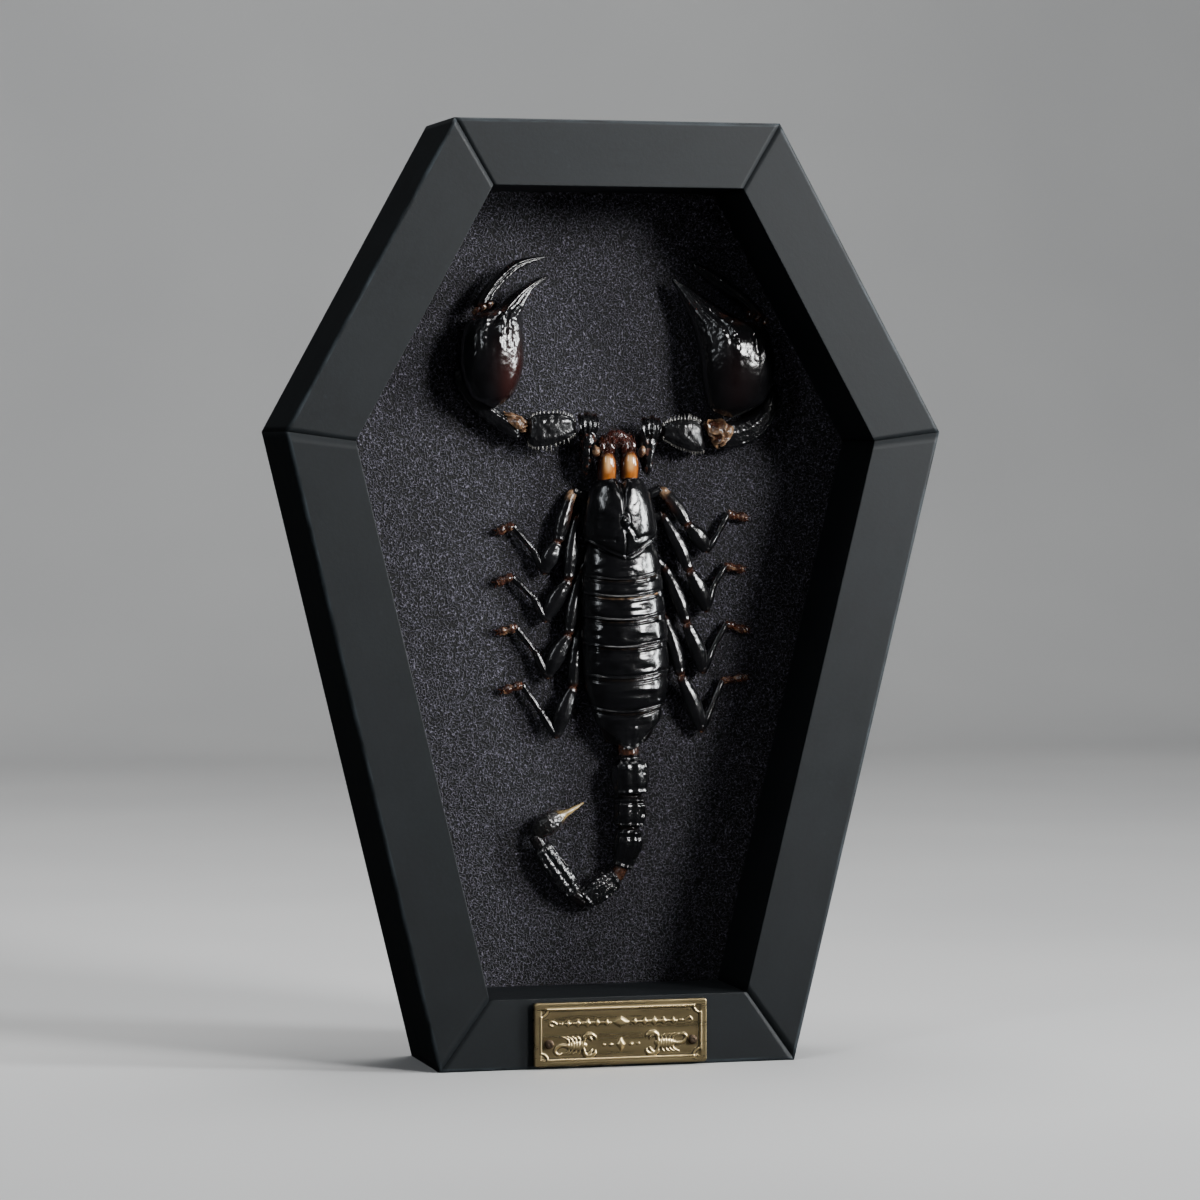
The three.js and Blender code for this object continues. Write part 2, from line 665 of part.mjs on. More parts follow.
// Tail: each segment's path and half widths, and how flat its section is
const TAIL_SIDES = 8;
const TAIL_KEEL = 0.1;
const tailSegments = [
  {
    path: [[7.3, 65.2, 3.4], [7.4, 62.0, 3.6], [7.6, 56.1, 3.5]],
    halves: [2.0, 2.4, 3.7, 4.0, 3.9, 3.3],
    flat: 0.8,
  },
  { path: [[7.6, 55.75, 3.4], [7.4, 49.35, 3.3]], halves: [2.9, 3.4, 3.4, 3.4, 2.9], flat: 0.85 },
  {
    path: [[7.3, 49.0, 3.2], [7.0, 44.4, 3.1], [5.7, 40.2, 3.0]],
    halves: [2.6, 3.0, 2.8, 2.4, 2.0],
    flat: 0.9,
  },
  {
    path: [[4.8, 38.5, 2.8], [1.2, 36.2, 2.8], [-2.6, 33.3, 2.8]],
    halves: [1.6, 2.2, 2.3, 2.2, 1.7],
    flat: 1,
  },
  {
    path: [[-4.6, 34.8, 2.7], [-7.6, 38.9, 2.7], [-12.3, 45.6, 2.7]],
    halves: [1.4, 1.8, 2.0, 2.2, 2.2, 1.7],
    flat: 1,
  },
];

// Sting: its path, half widths and half heights
const stingPath = [
  [-13.2, 47.1, 2.6],
  [-11.6, 49.3, 2.7],
  [-8.6, 51.3, 2.8],
  [-5.4, 52.9, 2.6],
  [-2.2, 54.5, 1.6],
];
const stingHalfWidths = [0.9, 1.7, 2.3, 2.4, 1.8, 0.95, 0.6, 0.4, 0.15];
const stingHalfHeights = [0.9, 1.7, 2.2, 2.3, 1.7, 0.9, 0.55, 0.35, 0.15];

// Pincer arms: the edges of each piece, as [left x, left y, right x, right y, underside, top]
const arms = {
  left: {
    base: [
      [-3.6, 125.2, -1.2, 124.6, 1.6, 5.6],
      [-3.9, 129.5, -0.9, 130.4, 1.0, 6.2],
      [-4.0, 133.6, 0.2, 132.4, 0.7, 6.4],
      [-3.9, 136.4, 0.3, 136.6, 0.9, 6.6],
      [-2.9, 138.4, -0.8, 138.6, 2.2, 5.4],
    ],
    femur: [
      [-4.6, 134.2, -4.6, 136.6, 1.6, 5.0],
      [-6.6, 133.2, -6.3, 137.9, 0.8, 5.9],
      [-10.3, 131.7, -9.0, 138.5, 0.5, 6.4],
      [-13.9, 131.3, -13.2, 138.3, 0.6, 6.2],
      [-15.6, 132.4, -15.2, 137.3, 1.4, 5.2],
    ],
    patella: [
      [-16.8, 133.6, -16.2, 137.2, 1.2, 4.6],
      [-18.3, 132.9, -19.2, 138.4, 0.6, 5.4],
      [-23.5, 136.1, -21.8, 139.8, 0.4, 5.2],
      [-27.9, 139.8, -24.6, 143.0, 0.4, 5.0],
      [-31.0, 144.3, -27.4, 146.4, 0.5, 5.0],
      [-31.5, 147.6, -29.4, 148.4, 1.2, 4.2],
    ],
    hand: [
      [-24.8, 139.4, -21.8, 139.4, 4.6, 7.4],
      [-28.4, 142.2, -18.9, 142.8, 2.6, 9.8],
      [-30.5, 147.6, -16.9, 148.4, 1.0, 11.0],
      [-30.3, 153.6, -16.9, 154.6, 0.5, 10.8],
      [-28.2, 158.4, -17.0, 158.8, 0.6, 9.4],
      [-22.8, 160.6, -16.0, 161.6, 1.2, 7.4],
      [-18.4, 164.0, -14.2, 164.8, 1.6, 6.2],
      [-13.8, 166.9, -12.0, 166.6, 2.2, 5.0],
      [-10.6, 168.1, -10.2, 167.9, 2.8, 3.6],
    ],
    finger: [
      [-27.3, 160.6, -23.7, 162.2, 1.6, 7.4],
      [-26.2, 163.2, -22.6, 164.2, 1.4, 7.0],
      [-22.5, 167.8, -19.8, 167.2, 1.6, 6.2],
      [-17.8, 171.2, -16.4, 169.7, 2.2, 5.2],
      [-11.1, 172.3, -11.0, 171.9, 2.8, 3.6],
    ],
    upperTeeth: [-6.0, -14.2, 137.4, 137.9],
    lowerTeeth: [-7.0, -14.6, 133.2, 131.8],
  },
  right: {
    base: [
      [10.4, 124.6, 12.8, 125.2, 1.6, 5.6],
      [9.6, 128.6, 12.9, 129.0, 1.0, 6.2],
      [9.0, 132.6, 13.6, 132.2, 0.7, 6.4],
      [9.3, 135.6, 13.4, 136.0, 0.9, 6.6],
      [10.4, 137.4, 12.4, 137.6, 2.2, 5.4],
    ],
    femur: [
      [14.3, 136.0, 14.3, 133.4, 1.6, 5.0],
      [16.8, 136.9, 16.8, 131.9, 0.8, 5.9],
      [20.7, 137.2, 20.5, 130.5, 0.5, 6.4],
      [23.4, 136.7, 24.4, 130.0, 1.2, 5.4],
    ],
    patella: [
      [24.4, 136.2, 26.0, 131.4, 1.2, 4.6],
      [28.0, 136.6, 28.8, 130.6, 0.6, 5.4],
      [32.6, 137.4, 34.5, 131.9, 0.4, 5.2],
      [35.6, 139.4, 38.4, 134.7, 0.4, 5.0],
      [37.6, 142.2, 40.7, 138.9, 0.5, 5.0],
      [39.4, 144.6, 41.2, 143.4, 1.2, 4.2],
    ],
    hand: [
      [27.6, 137.2, 32.4, 138.0, 4.8, 7.4],
      [24.3, 140.2, 36.9, 141.2, 2.6, 9.8],
      [23.1, 146.0, 39.1, 147.0, 1.0, 11.0],
      [22.5, 152.0, 38.9, 152.6, 0.5, 10.8],
      [21.4, 157.0, 37.4, 156.6, 0.6, 9.4],
      [20.2, 160.2, 31.4, 159.2, 1.2, 7.4],
      [19.0, 163.0, 25.8, 162.5, 1.6, 6.2],
      [17.8, 165.6, 21.2, 165.4, 2.2, 5.0],
      [16.8, 167.5, 17.3, 167.7, 2.8, 3.6],
    ],
    finger: [
      [33.4, 160.6, 37.8, 158.6, 1.6, 7.4],
      [31.2, 162.7, 35.6, 161.8, 1.4, 7.0],
      [27.2, 165.2, 30.7, 166.2, 1.6, 6.2],
      [23.9, 167.8, 26.2, 169.5, 2.2, 5.2],
      [21.3, 170.7, 21.6, 171.1, 2.8, 3.6],
    ],
    upperTeeth: [15.5, 22.6, 136.6, 137.0],
    lowerTeeth: [15.6, 24.0, 132.6, 130.2],
  },
};

// Spines along the femur's edges
const TOOTH_COUNT = 6;
const TOOTH_RADIUS = 0.42;
const TOOTH_LENGTH = 1.3;
const TOOTH_SIDES = 4;
const TOOTH_OUT = 0.1;
const TOOTH_HEIGHT = 3.6;

// A row of small spines along an edge, from one place to the other, pointing away from the middle
function toothRow([fromX, toX, fromY, toY], outward) {
  return Array.from({ length: TOOTH_COUNT }, (_, k) => {
    const share = k / (TOOTH_COUNT - 1);
    const tooth = new THREE.ConeGeometry(TOOTH_RADIUS, TOOTH_LENGTH, TOOTH_SIDES);
    tooth.rotateZ(outward > 0 ? 0 : Math.PI);
    const x = THREE.MathUtils.lerp(fromX, toX, share);
    const y = THREE.MathUtils.lerp(fromY, toY, share);
    tooth.translate(x, y + outward * TOOTH_OUT, TOOTH_HEIGHT);
    return tooth;
  });
}

// How finely each piece of an arm is drawn, along it and round it
const ARM_ROWS = { base: 6, femur: 7, patella: 9, hand: 12, finger: 8 };
const ARM_SIDES = { base: 8, femur: 8, patella: 8, hand: 10, finger: 8 };

function makeArm(sideName) {
  const arm = arms[sideName];
  const piece = (part, swelling) => between(arm[part], ARM_ROWS[part], ARM_SIDES[part], swelling);
  const geometries = {
    base: piece("base"),
    femur: joined([piece("femur"), toothRow(arm.upperTeeth, 1), toothRow(arm.lowerTeeth, -1)].flat()),
    patella: cut(piece("patella"), [piece("hand", GAP)]),
    hand: piece("hand"),
    finger: piece("finger"),
  };
  const group = new THREE.Group();
  for (const [part, geometry] of Object.entries(geometries)) {
    group.add(named("arm_" + part + "_" + sideName, geometry, BLACK_SHELL));
  }
  return group;
}

// Legs: where each joint lies, from the hip under the body to the claw
const legJointHeights = [1.3, 1.5, 3.1, 2.6, 2.1, 1.3, 0.9];
const legs = {
  right: [
    [[9.2, 119.4], [15.0, 122.2], [20.5, 114.4], [25.0, 108.7], [27.5, 112.2], [30.2, 116.7], [34.3, 115.8]],
    [[9.2, 114.6], [15.2, 116.6], [21.0, 104.4], [25.0, 95.7], [26.6, 100.9], [29.6, 105.4], [33.6, 104.7]],
    [[10.0, 109.6], [15.8, 105.2], [20.3, 93.1], [24.2, 82.4], [26.6, 87.6], [29.8, 92.8], [34.6, 91.4]],
    [[10.4, 104.2], [15.6, 94.6], [19.0, 81.8], [23.9, 69.6], [26.4, 75.0], [28.9, 80.4], [34.4, 81.0]],
  ],
  left: [
    [[1.2, 119.4], [-4.6, 121.8], [-8.3, 110.8], [-11.2, 104.2], [-13.4, 108.9], [-17.9, 114.3], [-21.8, 113.1]],
    [[1.0, 114.6], [-3.7, 116.2], [-5.9, 102.6], [-11.0, 93.9], [-13.4, 98.8], [-18.1, 103.4], [-21.8, 101.9]],
    [[0.8, 109.6], [-2.7, 104.6], [-5.9, 90.8], [-10.6, 81.6], [-13.0, 87.0], [-17.2, 92.4], [-21.6, 91.6]],
    [[1.2, 104.2], [-2.9, 93.6], [-4.9, 79.6], [-8.6, 68.8], [-12.1, 74.5], [-15.9, 80.1], [-21.0, 78.7]],
  ],
};

// Half widths of the hip, thigh, knee, shin, foot and toe, and how much flatter or deeper each is
const legParts = [
  { halves: [0.9, 1.1, 0.8], depth: 0.85 },
  { halves: [0.7, 1.3, 1.35, 0.65], depth: 0.9 },
  { halves: [0.7, 1.7, 1.6, 0.65], depth: 0.78 },
  { halves: [0.55, 0.85, 0.55], depth: 1 },
  { halves: [0.55, 0.7, 0.5], depth: 1 },
  { halves: [0.6, 0.8, 0.55], depth: 1 },
];
const LEG_SIDES = 5;
const JOINT_OVERLAP = 0.35;
const CLAW_LENGTH = 1.4;
const CLAW_SPREAD = 0.55;
const CLAW_HALVES = [0.24, 0.08];
const CLAW_SIDES = 4;
const CLAW_TIP_HEIGHT = 0.4;

function legGeometry(places) {
  const joints = places.map(([x, y], k) => [x, y, legJointHeights[k]]);
  const pieces = legParts.map(({ halves, depth }, k) =>
    limb(
      runOn([joints[k], joints[k + 1]], JOINT_OVERLAP),
      halves,
      halves.map((half) => half * depth),
      LEG_SIDES,
    ),
  );
  const tip = new THREE.Vector3(...joints.at(-1));
  const ahead = tip.clone().sub(new THREE.Vector3(...joints.at(-2))).normalize();
  const claws = [-CLAW_SPREAD, CLAW_SPREAD].map((turn) => {
    const spread = ahead.clone().applyAxisAngle(new THREE.Vector3(0, 0, 1), turn);
    const end = tip.clone().addScaledVector(spread, CLAW_LENGTH).setZ(CLAW_TIP_HEIGHT);
    return limb([tip.toArray(), end.toArray()], CLAW_HALVES, CLAW_HALVES, CLAW_SIDES);
  });
  return joined([...pieces, ...claws]);
}

function makeSpecimen() {
  const specimen = new THREE.Group();
  const trunk = new THREE.Group();
  trunk.position.set(HEAD_X, HEAD_HEIGHT, 0);
  trunk.rotation.z = THREE.MathUtils.degToRad(BODY_LEAN);
  trunk.add(named("carapace", carapaceGeometry(), BLACK_SHELL));
  trunk.add(named("abdomen", abdomenGeometry(), BLACK_SHELL));
  trunk.add(named("jaw_left", jawGeometry(-1), AMBER_SHELL));
  trunk.add(named("jaw_right", jawGeometry(1), AMBER_SHELL));
  specimen.add(trunk);

  tailSegments.forEach(({ path, halves, flat }, k) => {
    const heights = halves.map((half) => half * flat);
    const segment = limb(path, halves, heights, TAIL_SIDES, TAIL_KEEL);
    specimen.add(named("tail_segment_" + (k + 1), segment, BLACK_SHELL));
  });
  const sting = limb(stingPath, stingHalfWidths, stingHalfHeights, TAIL_SIDES);
  specimen.add(named("sting", sting, STING_HORN));

  for (const sideName of ["left", "right"]) {
    specimen.add(makeArm(sideName));
    legs[sideName].forEach((places, k) => {
      specimen.add(named("leg_" + (k + 1) + "_" + sideName, legGeometry(places), BLACK_SHELL));
    });
  }
  specimen.position.y = fabricFront;
  specimen.rotation.x = Math.PI / 2;
  return specimen;
}

const framedScorpion = new THREE.Group();
framedScorpion.add(makeBox());
framedScorpion.add(makePlaque());
framedScorpion.add(makeSpecimen());
framedScorpion.position.y = -(RAIL_DEPTH + foremost) / 2;

export default framedScorpion;
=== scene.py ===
"""A dried scorpion in a six-sided shadow box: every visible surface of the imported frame, dressed."""

import bpy
import numpy as np
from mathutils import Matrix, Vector


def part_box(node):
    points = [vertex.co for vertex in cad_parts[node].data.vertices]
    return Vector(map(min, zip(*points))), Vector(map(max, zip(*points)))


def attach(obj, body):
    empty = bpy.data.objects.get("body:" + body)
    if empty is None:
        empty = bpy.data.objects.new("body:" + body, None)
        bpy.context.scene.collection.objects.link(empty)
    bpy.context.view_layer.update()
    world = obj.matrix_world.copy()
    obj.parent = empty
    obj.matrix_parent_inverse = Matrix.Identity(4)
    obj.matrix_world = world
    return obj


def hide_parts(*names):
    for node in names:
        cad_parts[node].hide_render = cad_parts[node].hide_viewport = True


bl_info = {
    "name": "Scorpion shadow box",
    "version": (1, 0, 0),
    "blender": (4, 5, 0),
    "location": "View3D > Sidebar > Scorpion box",
    "description": "Builds a mounted scorpion in a mitred six-sided frame",
    "category": "Object",
}

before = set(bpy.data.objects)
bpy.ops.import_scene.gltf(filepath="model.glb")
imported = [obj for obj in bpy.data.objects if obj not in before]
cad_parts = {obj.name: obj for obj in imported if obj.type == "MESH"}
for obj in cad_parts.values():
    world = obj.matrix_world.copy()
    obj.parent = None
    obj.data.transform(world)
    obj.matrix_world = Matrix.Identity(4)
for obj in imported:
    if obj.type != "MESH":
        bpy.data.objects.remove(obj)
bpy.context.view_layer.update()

MM = 0.001
FRONT_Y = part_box("rail_top")[0].y / MM
LINING_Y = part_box("fabric_lining")[0].y / MM
BOARD_BACK_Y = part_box("back_board")[1].y / MM
TAB_Y = (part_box("tab_top")[0].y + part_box("tab_top")[1].y) / 2 / MM

# Frame seen from the front, in millimetres, starting at the foot of the right side
OUTER = np.array([(39, 0), (-39, 0), (-71.5, 134.5), (-35.5, 200), (35.5, 200), (71.5, 134.5)], float)
RAILS = ["bottom", "lower_left", "upper_left", "top", "upper_right", "lower_right"]
FACES = np.array([15, 14, 14, 14, 14, 14], float)
TABS = [1, 2, 1, 1, 1, 2]
REBATE = 4.0
LIP = 22.5
DEPTH = 28.0
PANEL_PLAY = 0.4

# The specimen's head end on the frame, and how far its body leans
HEAD = np.array([4.6, 124.5, 0.0])
LEAN = np.radians(2.6)

# The lowest that a limb or the tail comes to the fabric
FABRIC_GAP = 0.31


# Shapes as arrays, in millimetres


def spline(values, t):
    """A smooth curve through evenly spaced values, read at shares t of the way.

    Each span is the cubic whose slope at a value is half the step between that value's neighbours."""
    values = np.asarray(values, float)
    spans = len(values) - 1
    first = 2 * values[0] - values[1]
    last = 2 * values[-1] - values[-2]
    padded = np.concatenate([[first], values, [last]])
    place = np.clip(t, 0, 1) * spans
    k = np.minimum(place.astype(int), spans - 1)
    f = place - k
    if values.ndim > 1:
        f = f[..., None]
    a, b, c, d = (padded[k + j] for j in range(4))
    return b + 0.5 * f * (c - a + f * (2 * a - 5 * b + 4 * c - d + f * (3 * (b - c) + d - a)))


def crowded(count, share=0.6):
    """Shares from 0 to 1 that lie closer together near both ends: a straight count mixed with a cosine."""
    even = np.linspace(0, 1, count)
    return share * (1 - np.cos(np.pi * even)) / 2 + (1 - share) * even


def unit(vector):
    """The vector made one long."""
    return vector / np.linalg.norm(vector)


def units(vectors):
    """Each row made one long."""
    return vectors / np.linalg.norm(vectors, axis=1, keepdims=True)


def squared_off(value, power):
    """A sine or cosine to a power with its sign kept: below 1 it draws a circle towards a square."""
    return np.sign(value) * np.abs(value) ** power


def rounded_ends(t, first, last):
    """1 along the middle, falling to 0 at each end as a quarter of an ellipse over its share."""
    a = np.clip(t / first, 0, 1)
    b = np.clip((1 - t) / last, 0, 1)
    return np.sqrt(1 - (1 - a) ** 2) * np.sqrt(1 - (1 - b) ** 2)


def hill(value, centre, width):
    """A bell curve: 1 at the centre, about a third at one width from it."""
    return np.exp(-(((value - centre) / width) ** 2))


def ramp(value, start, end):
    """0 before start, 1 after end, and a smooth S between them."""
    s = np.clip((value - start) / (end - start), 0, 1)
    return s * s * (3 - 2 * s)


def scatter(cell, seed):
    """Three even random numbers for each whole-number cell, from a mixing of its coordinates' bits."""
    c = cell.astype(np.int64).view(np.uint64)
    h = c[..., 0] * np.uint64(0x9E3779B97F4A7C15) ^ c[..., 1] * np.uint64(0xC2B2AE3D27D4EB4F)
    h = h ^ c[..., 2] * np.uint64(0x165667B19E3779F9) ^ np.uint64(seed * 7919 + 11)
    h = (h ^ (h >> np.uint64(31))) * np.uint64(0xBF58476D1CE4E5B9)
    h = h ^ (h >> np.uint64(29))
    return np.stack([(h >> np.uint64(s)) & np.uint64(0xFFFF) for s in (3, 21, 39)], -1) / 65535.0


def dice(count, seed):
    """Three even random numbers for each of count things."""
    return scatter(np.stack([np.arange(count)] * 3, -1), seed)


def lumps(points, size, seed=0):
    """Smooth random value from -1 to 1: random numbers on a lattice of that size, blended by an S curve."""
    q = np.asarray(points, float) / size
    base = np.floor(q)
    s = q - base
    s = s * s * (3 - 2 * s)
    total = 0
    for corner in np.ndindex(2, 2, 2):
        offset = np.array(corner)
        weight = np.prod(np.where(offset, s, 1 - s), -1)
        total = total + weight * scatter(base + offset, seed)[..., 0]
    return 2 * total - 1


def grains(points, size, seed=0):
    """1 on each of a scatter of points, one in every cube of that size, falling to 0 halfway between them."""
    q = np.asarray(points, float) / size
    base = np.floor(q)
    best = np.full(q.shape[:-1], 9.0)
    for step in np.ndindex(3, 3, 3):
        cell = base + np.array(step) - 1
        best = np.minimum(best, np.sum((cell + scatter(cell, seed) - q) ** 2, -1))
    return np.clip(1 - np.sqrt(best) / 0.75, 0, 1)


def outward(points):
    """Unit normals of a grid whose columns run round it: the cross product of its steps, turned outwards."""
    along = np.gradient(points, axis=0)
    around = np.roll(points, -1, axis=1) - np.roll(points, 1, axis=1)
    normal = np.cross(along, around)
    normal /= np.maximum(np.linalg.norm(normal, axis=-1, keepdims=True), 1e-9)
    away = np.sum(normal * (points - points.mean(axis=1, keepdims=True)))
    return normal if away >= 0 else -normal


def displaced(points, amount):
    """The grid moved outwards along its normals by amount."""
    return points + outward(points) * np.asarray(amount)[..., None]


def off_fabric(points, gap=FABRIC_GAP):
    """The grid with nothing lower than the gap above the fabric."""
    lifted = points.copy()
    lifted[..., 2] = np.maximum(points[..., 2], gap)
    return lifted


def turned_out(vertices, triangles):
    """The triangles of a closed surface, all turned over if the volume that they enclose is negative."""
    p, q, s = (vertices[triangles[:, k]] - vertices.mean(axis=0) for k in range(3))
    return triangles[:, ::-1] if np.sum(p * np.cross(q, s)) < 0 else triangles


def skin(points, **masks):
    """A closed surface from a grid whose columns run round it: each square as two triangles.

    Points that fall together, as at a pole or a rim, become one."""
    rows, columns = points.shape[:2]
    r, c = np.meshgrid(np.arange(rows - 1), np.arange(columns), indexing="ij")
    a = r * columns + c
    b = r * columns + (c + 1) % columns
    squares = np.stack([a, b, b + columns, a, b + columns, a + columns], -1)
    triangles = squares.reshape(-1, 3)
    flat = points.reshape(-1, 3)
    keys = np.round(flat * 1e4).astype(np.int64)
    _, first, inverse = np.unique(keys, axis=0, return_index=True, return_inverse=True)
    triangles = inverse.reshape(-1)[triangles]
    t0, t1, t2 = triangles.T
    triangles = triangles[(t0 != t1) & (t1 != t2) & (t2 != t0)]
    vertices = flat[first]
    triangles = turned_out(vertices, triangles)
    values = {k: np.broadcast_to(m, (rows, columns)).reshape(-1)[first] for k, m in masks.items()}
    return {"vertices": vertices, "triangles": triangles, "masks": values}


def together(shapes):
    """Several surfaces as one, each with all the masks that any of them has."""
    names = sorted({name for shape in shapes for name in shape["masks"]})
    starts = np.cumsum([0] + [len(shape["vertices"]) for shape in shapes])
    masks = {}
    for name in names:
        masks[name] = np.concatenate([s["masks"].get(name, np.zeros(len(s["vertices"]))) for s in shapes])
    return {
        "vertices": np.concatenate([s["vertices"] for s in shapes]),
        "triangles": np.concatenate([s["triangles"] + n for s, n in zip(shapes, starts)]),
        "masks": masks,
    }


def moved(shape, change):
    """The same surface with its vertices put through change."""
    return {**shape, "vertices": change(shape["vertices"])}


def laid(points):
    """Specimen places [across, up the frame, height off the fabric] as places in the row frame."""
    return np.stack([points[..., 0], LINING_Y - points[..., 2], points[..., 1]], -1)


def leant(points):
    """Trunk places as specimen places: turned by the body's lean and moved to the head end."""
    x = np.cos(LEAN) * points[..., 0] - np.sin(LEAN) * points[..., 1]
    y = np.sin(LEAN) * points[..., 0] + np.cos(LEAN) * points[..., 1]
    return np.stack([x, y, points[..., 2]], -1) + HEAD


def on_specimen(shape):
    """A surface drawn in specimen places, put into the row frame."""
    return moved(shape, laid)


def on_trunk(shape):
    """A surface drawn in trunk places, put into the row frame."""
    return on_specimen(moved(shape, leant))


def add_piece(name, shape, finish, slot, *nodes):
    """Puts a surface into the scene as one smooth piece that rides on the root and stands for the nodes."""
    mesh = bpy.data.meshes.new(name)
    vertices = shape["vertices"] * MM
    triangles = shape["triangles"].astype(np.int32)
    count = len(triangles)
    mesh.vertices.add(len(vertices))
    mesh.vertices.foreach_set("co", vertices.astype(np.float32).reshape(-1))
    mesh.loops.add(3 * count)
    mesh.loops.foreach_set("vertex_index", triangles.reshape(-1))
    mesh.polygons.add(count)
    mesh.polygons.foreach_set("loop_start", np.arange(0, 3 * count, 3, dtype=np.int32))
    mesh.polygons.foreach_set("use_smooth", np.ones(count, dtype=bool))
    for key, values in shape["masks"].items():
        layer = mesh.attributes.new(key, "FLOAT", "POINT")
        layer.data.foreach_set("value", np.ascontiguousarray(values, dtype=np.float32))
    mesh.update(calc_edges=True)
    mesh.validate()
    mesh.materials.append(finish)
    piece = bpy.data.objects.new(name, mesh)
    bpy.context.scene.collection.objects.link(piece)
    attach(piece, "root")
    if nodes:
        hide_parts(*nodes)
    return piece


def swollen(stations, rows, columns, ends=(0.08, 0.08), square=0.9):
    """A piece swollen between two edges: rings of a squared-off ellipse carried from end to end.

    Each station is [left x, left y, right x, right y, underside, top]. Gives the points, the share t
    along each row and the angle of each column, 0 at the left edge and a quarter turn at the top."""
    t = crowded(rows)
    s = spline(stations, t)
    angle = np.linspace(0, 2 * np.pi, columns, endpoint=False)
    across = squared_off(np.cos(angle), square)
    rise = squared_off(np.sin(angle), square)
    size = rounded_ends(t, *ends)[:, None]
    points = np.empty((rows, columns, 3))
    for axis in range(2):
        middle = (s[:, axis] + s[:, axis + 2])[:, None] / 2
        half = (s[:, axis] - s[:, axis + 2])[:, None] / 2
        points[..., axis] = middle + half * across * size
    middle = (s[:, 4] + s[:, 5])[:, None] / 2
    half = (s[:, 5] - s[:, 4])[:, None] / 2
    points[..., 2] = middle + half * rise * size
    return points, t[:, None], angle[None, :]


def tube(path, widths, depths, rows, columns, ends=(0.1, 0.1), square=1.0):
    """A limb: rings of a squared-off ellipse carried along a smooth path and drawn together at its ends."""
    t = crowded(rows)
    centre = spline(path, t)
    ahead = np.gradient(centre, t, axis=0)
    side = units(np.stack([-ahead[:, 1], ahead[:, 0], np.zeros(rows)], -1))
    up = units(np.cross(ahead, side))
    angle = np.linspace(0, 2 * np.pi, columns, endpoint=False)
    across = squared_off(np.cos(angle), square)
    rise = squared_off(np.sin(angle), square)
    size = rounded_ends(t, *ends)
    wide = (spline(widths, t) * size)[:, None, None]
    deep = (spline(depths, t) * size)[:, None, None]
    sideways = side[:, None] * wide * across[:, None]
    upwards = up[:, None] * deep * rise[:, None]
    return centre[:, None] + sideways + upwards, t[:, None], angle[None, :]


def hairs(roots, directions, lengths, radius, bend=0.25, seed=3, **masks):
    """Fine tapering hairs, each a three-sided tube of four rings that bends towards the fabric.

    The line of a hair is its root, plus its direction times the share along it, less the bend times
    that share squared in height."""
    roots = np.asarray(roots, float)
    directions = units(np.asarray(directions, float))
    lengths = np.broadcast_to(lengths, len(roots))
    turn = dice(len(roots), seed) - 0.5
    share = np.linspace(0, 1, 4)
    taper = np.array([1, 0.8, 0.5, 0.08])
    side = units(np.cross(directions, directions[:, [1, 2, 0]] + 0.3))
    other = np.cross(directions, side)
    line = roots[:, None] + directions[:, None] * (share[None, :] * lengths[:, None])[..., None]
    drift = side[:, None] * turn[:, :1, None] + other[:, None] * turn[:, 1:2, None]
    line = line + drift * 0.5 * (share**2)[None, :, None] * lengths[:, None, None]
    line[..., 2] -= bend * share[None, :] ** 2 * lengths[:, None]
    angle = np.array([0, 2, 4]) * np.pi / 3
    ring = side[:, None, None] * np.cos(angle)[:, None]
    ring = ring + other[:, None, None] * np.sin(angle)[:, None]
    points = line[:, :, None] + ring * (radius * taper)[None, :, None, None]
    count = len(roots)
    vertices = points.reshape(count * 12, 3)
    k, i = np.meshgrid(np.arange(3), np.arange(3), indexing="ij")
    a = k * 3 + i
    b = k * 3 + (i + 1) % 3
    walls = np.stack([a, b, b + 3, a, b + 3, a + 3], -1).reshape(-1, 3)
    one = np.concatenate([walls, [[0, 2, 1], [9, 10, 11]]])
    one = turned_out(vertices[:12], one)
    triangles = (one[None] + 12 * np.arange(count)[:, None, None]).reshape(-1, 3)
    values = {key: np.full(len(vertices), float(value)) for key, value in masks.items()}
    return {"vertices": vertices, "triangles": triangles, "masks": values}


def spines(roots, tips, radius, **masks):
    """Small pointed teeth: a ring round each root and another near its tip, closed by two points."""
    roots = np.asarray(roots, float)
    tips = np.asarray(tips, float)
    radius = np.broadcast_to(radius, len(roots))
    axis = tips - roots
    length = np.linalg.norm(axis, axis=1, keepdims=True)
    axis = axis / length
    side = units(np.cross(axis, axis[:, [1, 2, 0]] + 0.3))
    other = np.cross(axis, side)
    shares = np.array([0, 0, 0.35, 0.7, 1])
    sizes = np.array([0, 1, 0.78, 0.4, 0])
    angle = np.linspace(0, 2 * np.pi, 6, endpoint=False)
    shapes = []
    for k in range(len(roots)):
        line = roots[k] + axis[k] * (shares * length[k])[:, None]
        ring = side[k] * np.cos(angle)[:, None] + other[k] * np.sin(angle)[:, None]
        points = line[:, None] + ring[None] * (sizes * radius[k])[:, None, None]
        shapes.append(skin(points, **masks))
    return together(shapes)


# Finishes: shader maths as expressions


class Value:
    """A socket in a material. Python's operators on it add Math nodes."""

    def __init__(self, finish, socket):
        self.finish = finish
        self.socket = socket

    def math(self, operation, *others, clamp=False):
        """A Math node fed by this socket and the others."""
        settings = {"operation": operation, "use_clamp": clamp}
        return self.finish.node("ShaderNodeMath", settings, dict(enumerate([self, *others])))

    def __add__(self, other):
        return self.math("ADD", other)

    __radd__ = __add__

    def __sub__(self, other):
        return self.math("SUBTRACT", other)

    def __rsub__(self, other):
        return (self * -1) + other

    def __mul__(self, other):
        return self.math("MULTIPLY", other)

    __rmul__ = __mul__

    def __abs__(self):
        return self.math("ABSOLUTE")

    def limited(self):
        """The value kept between 0 and 1."""
        return self.math("ADD", 0.0, clamp=True)


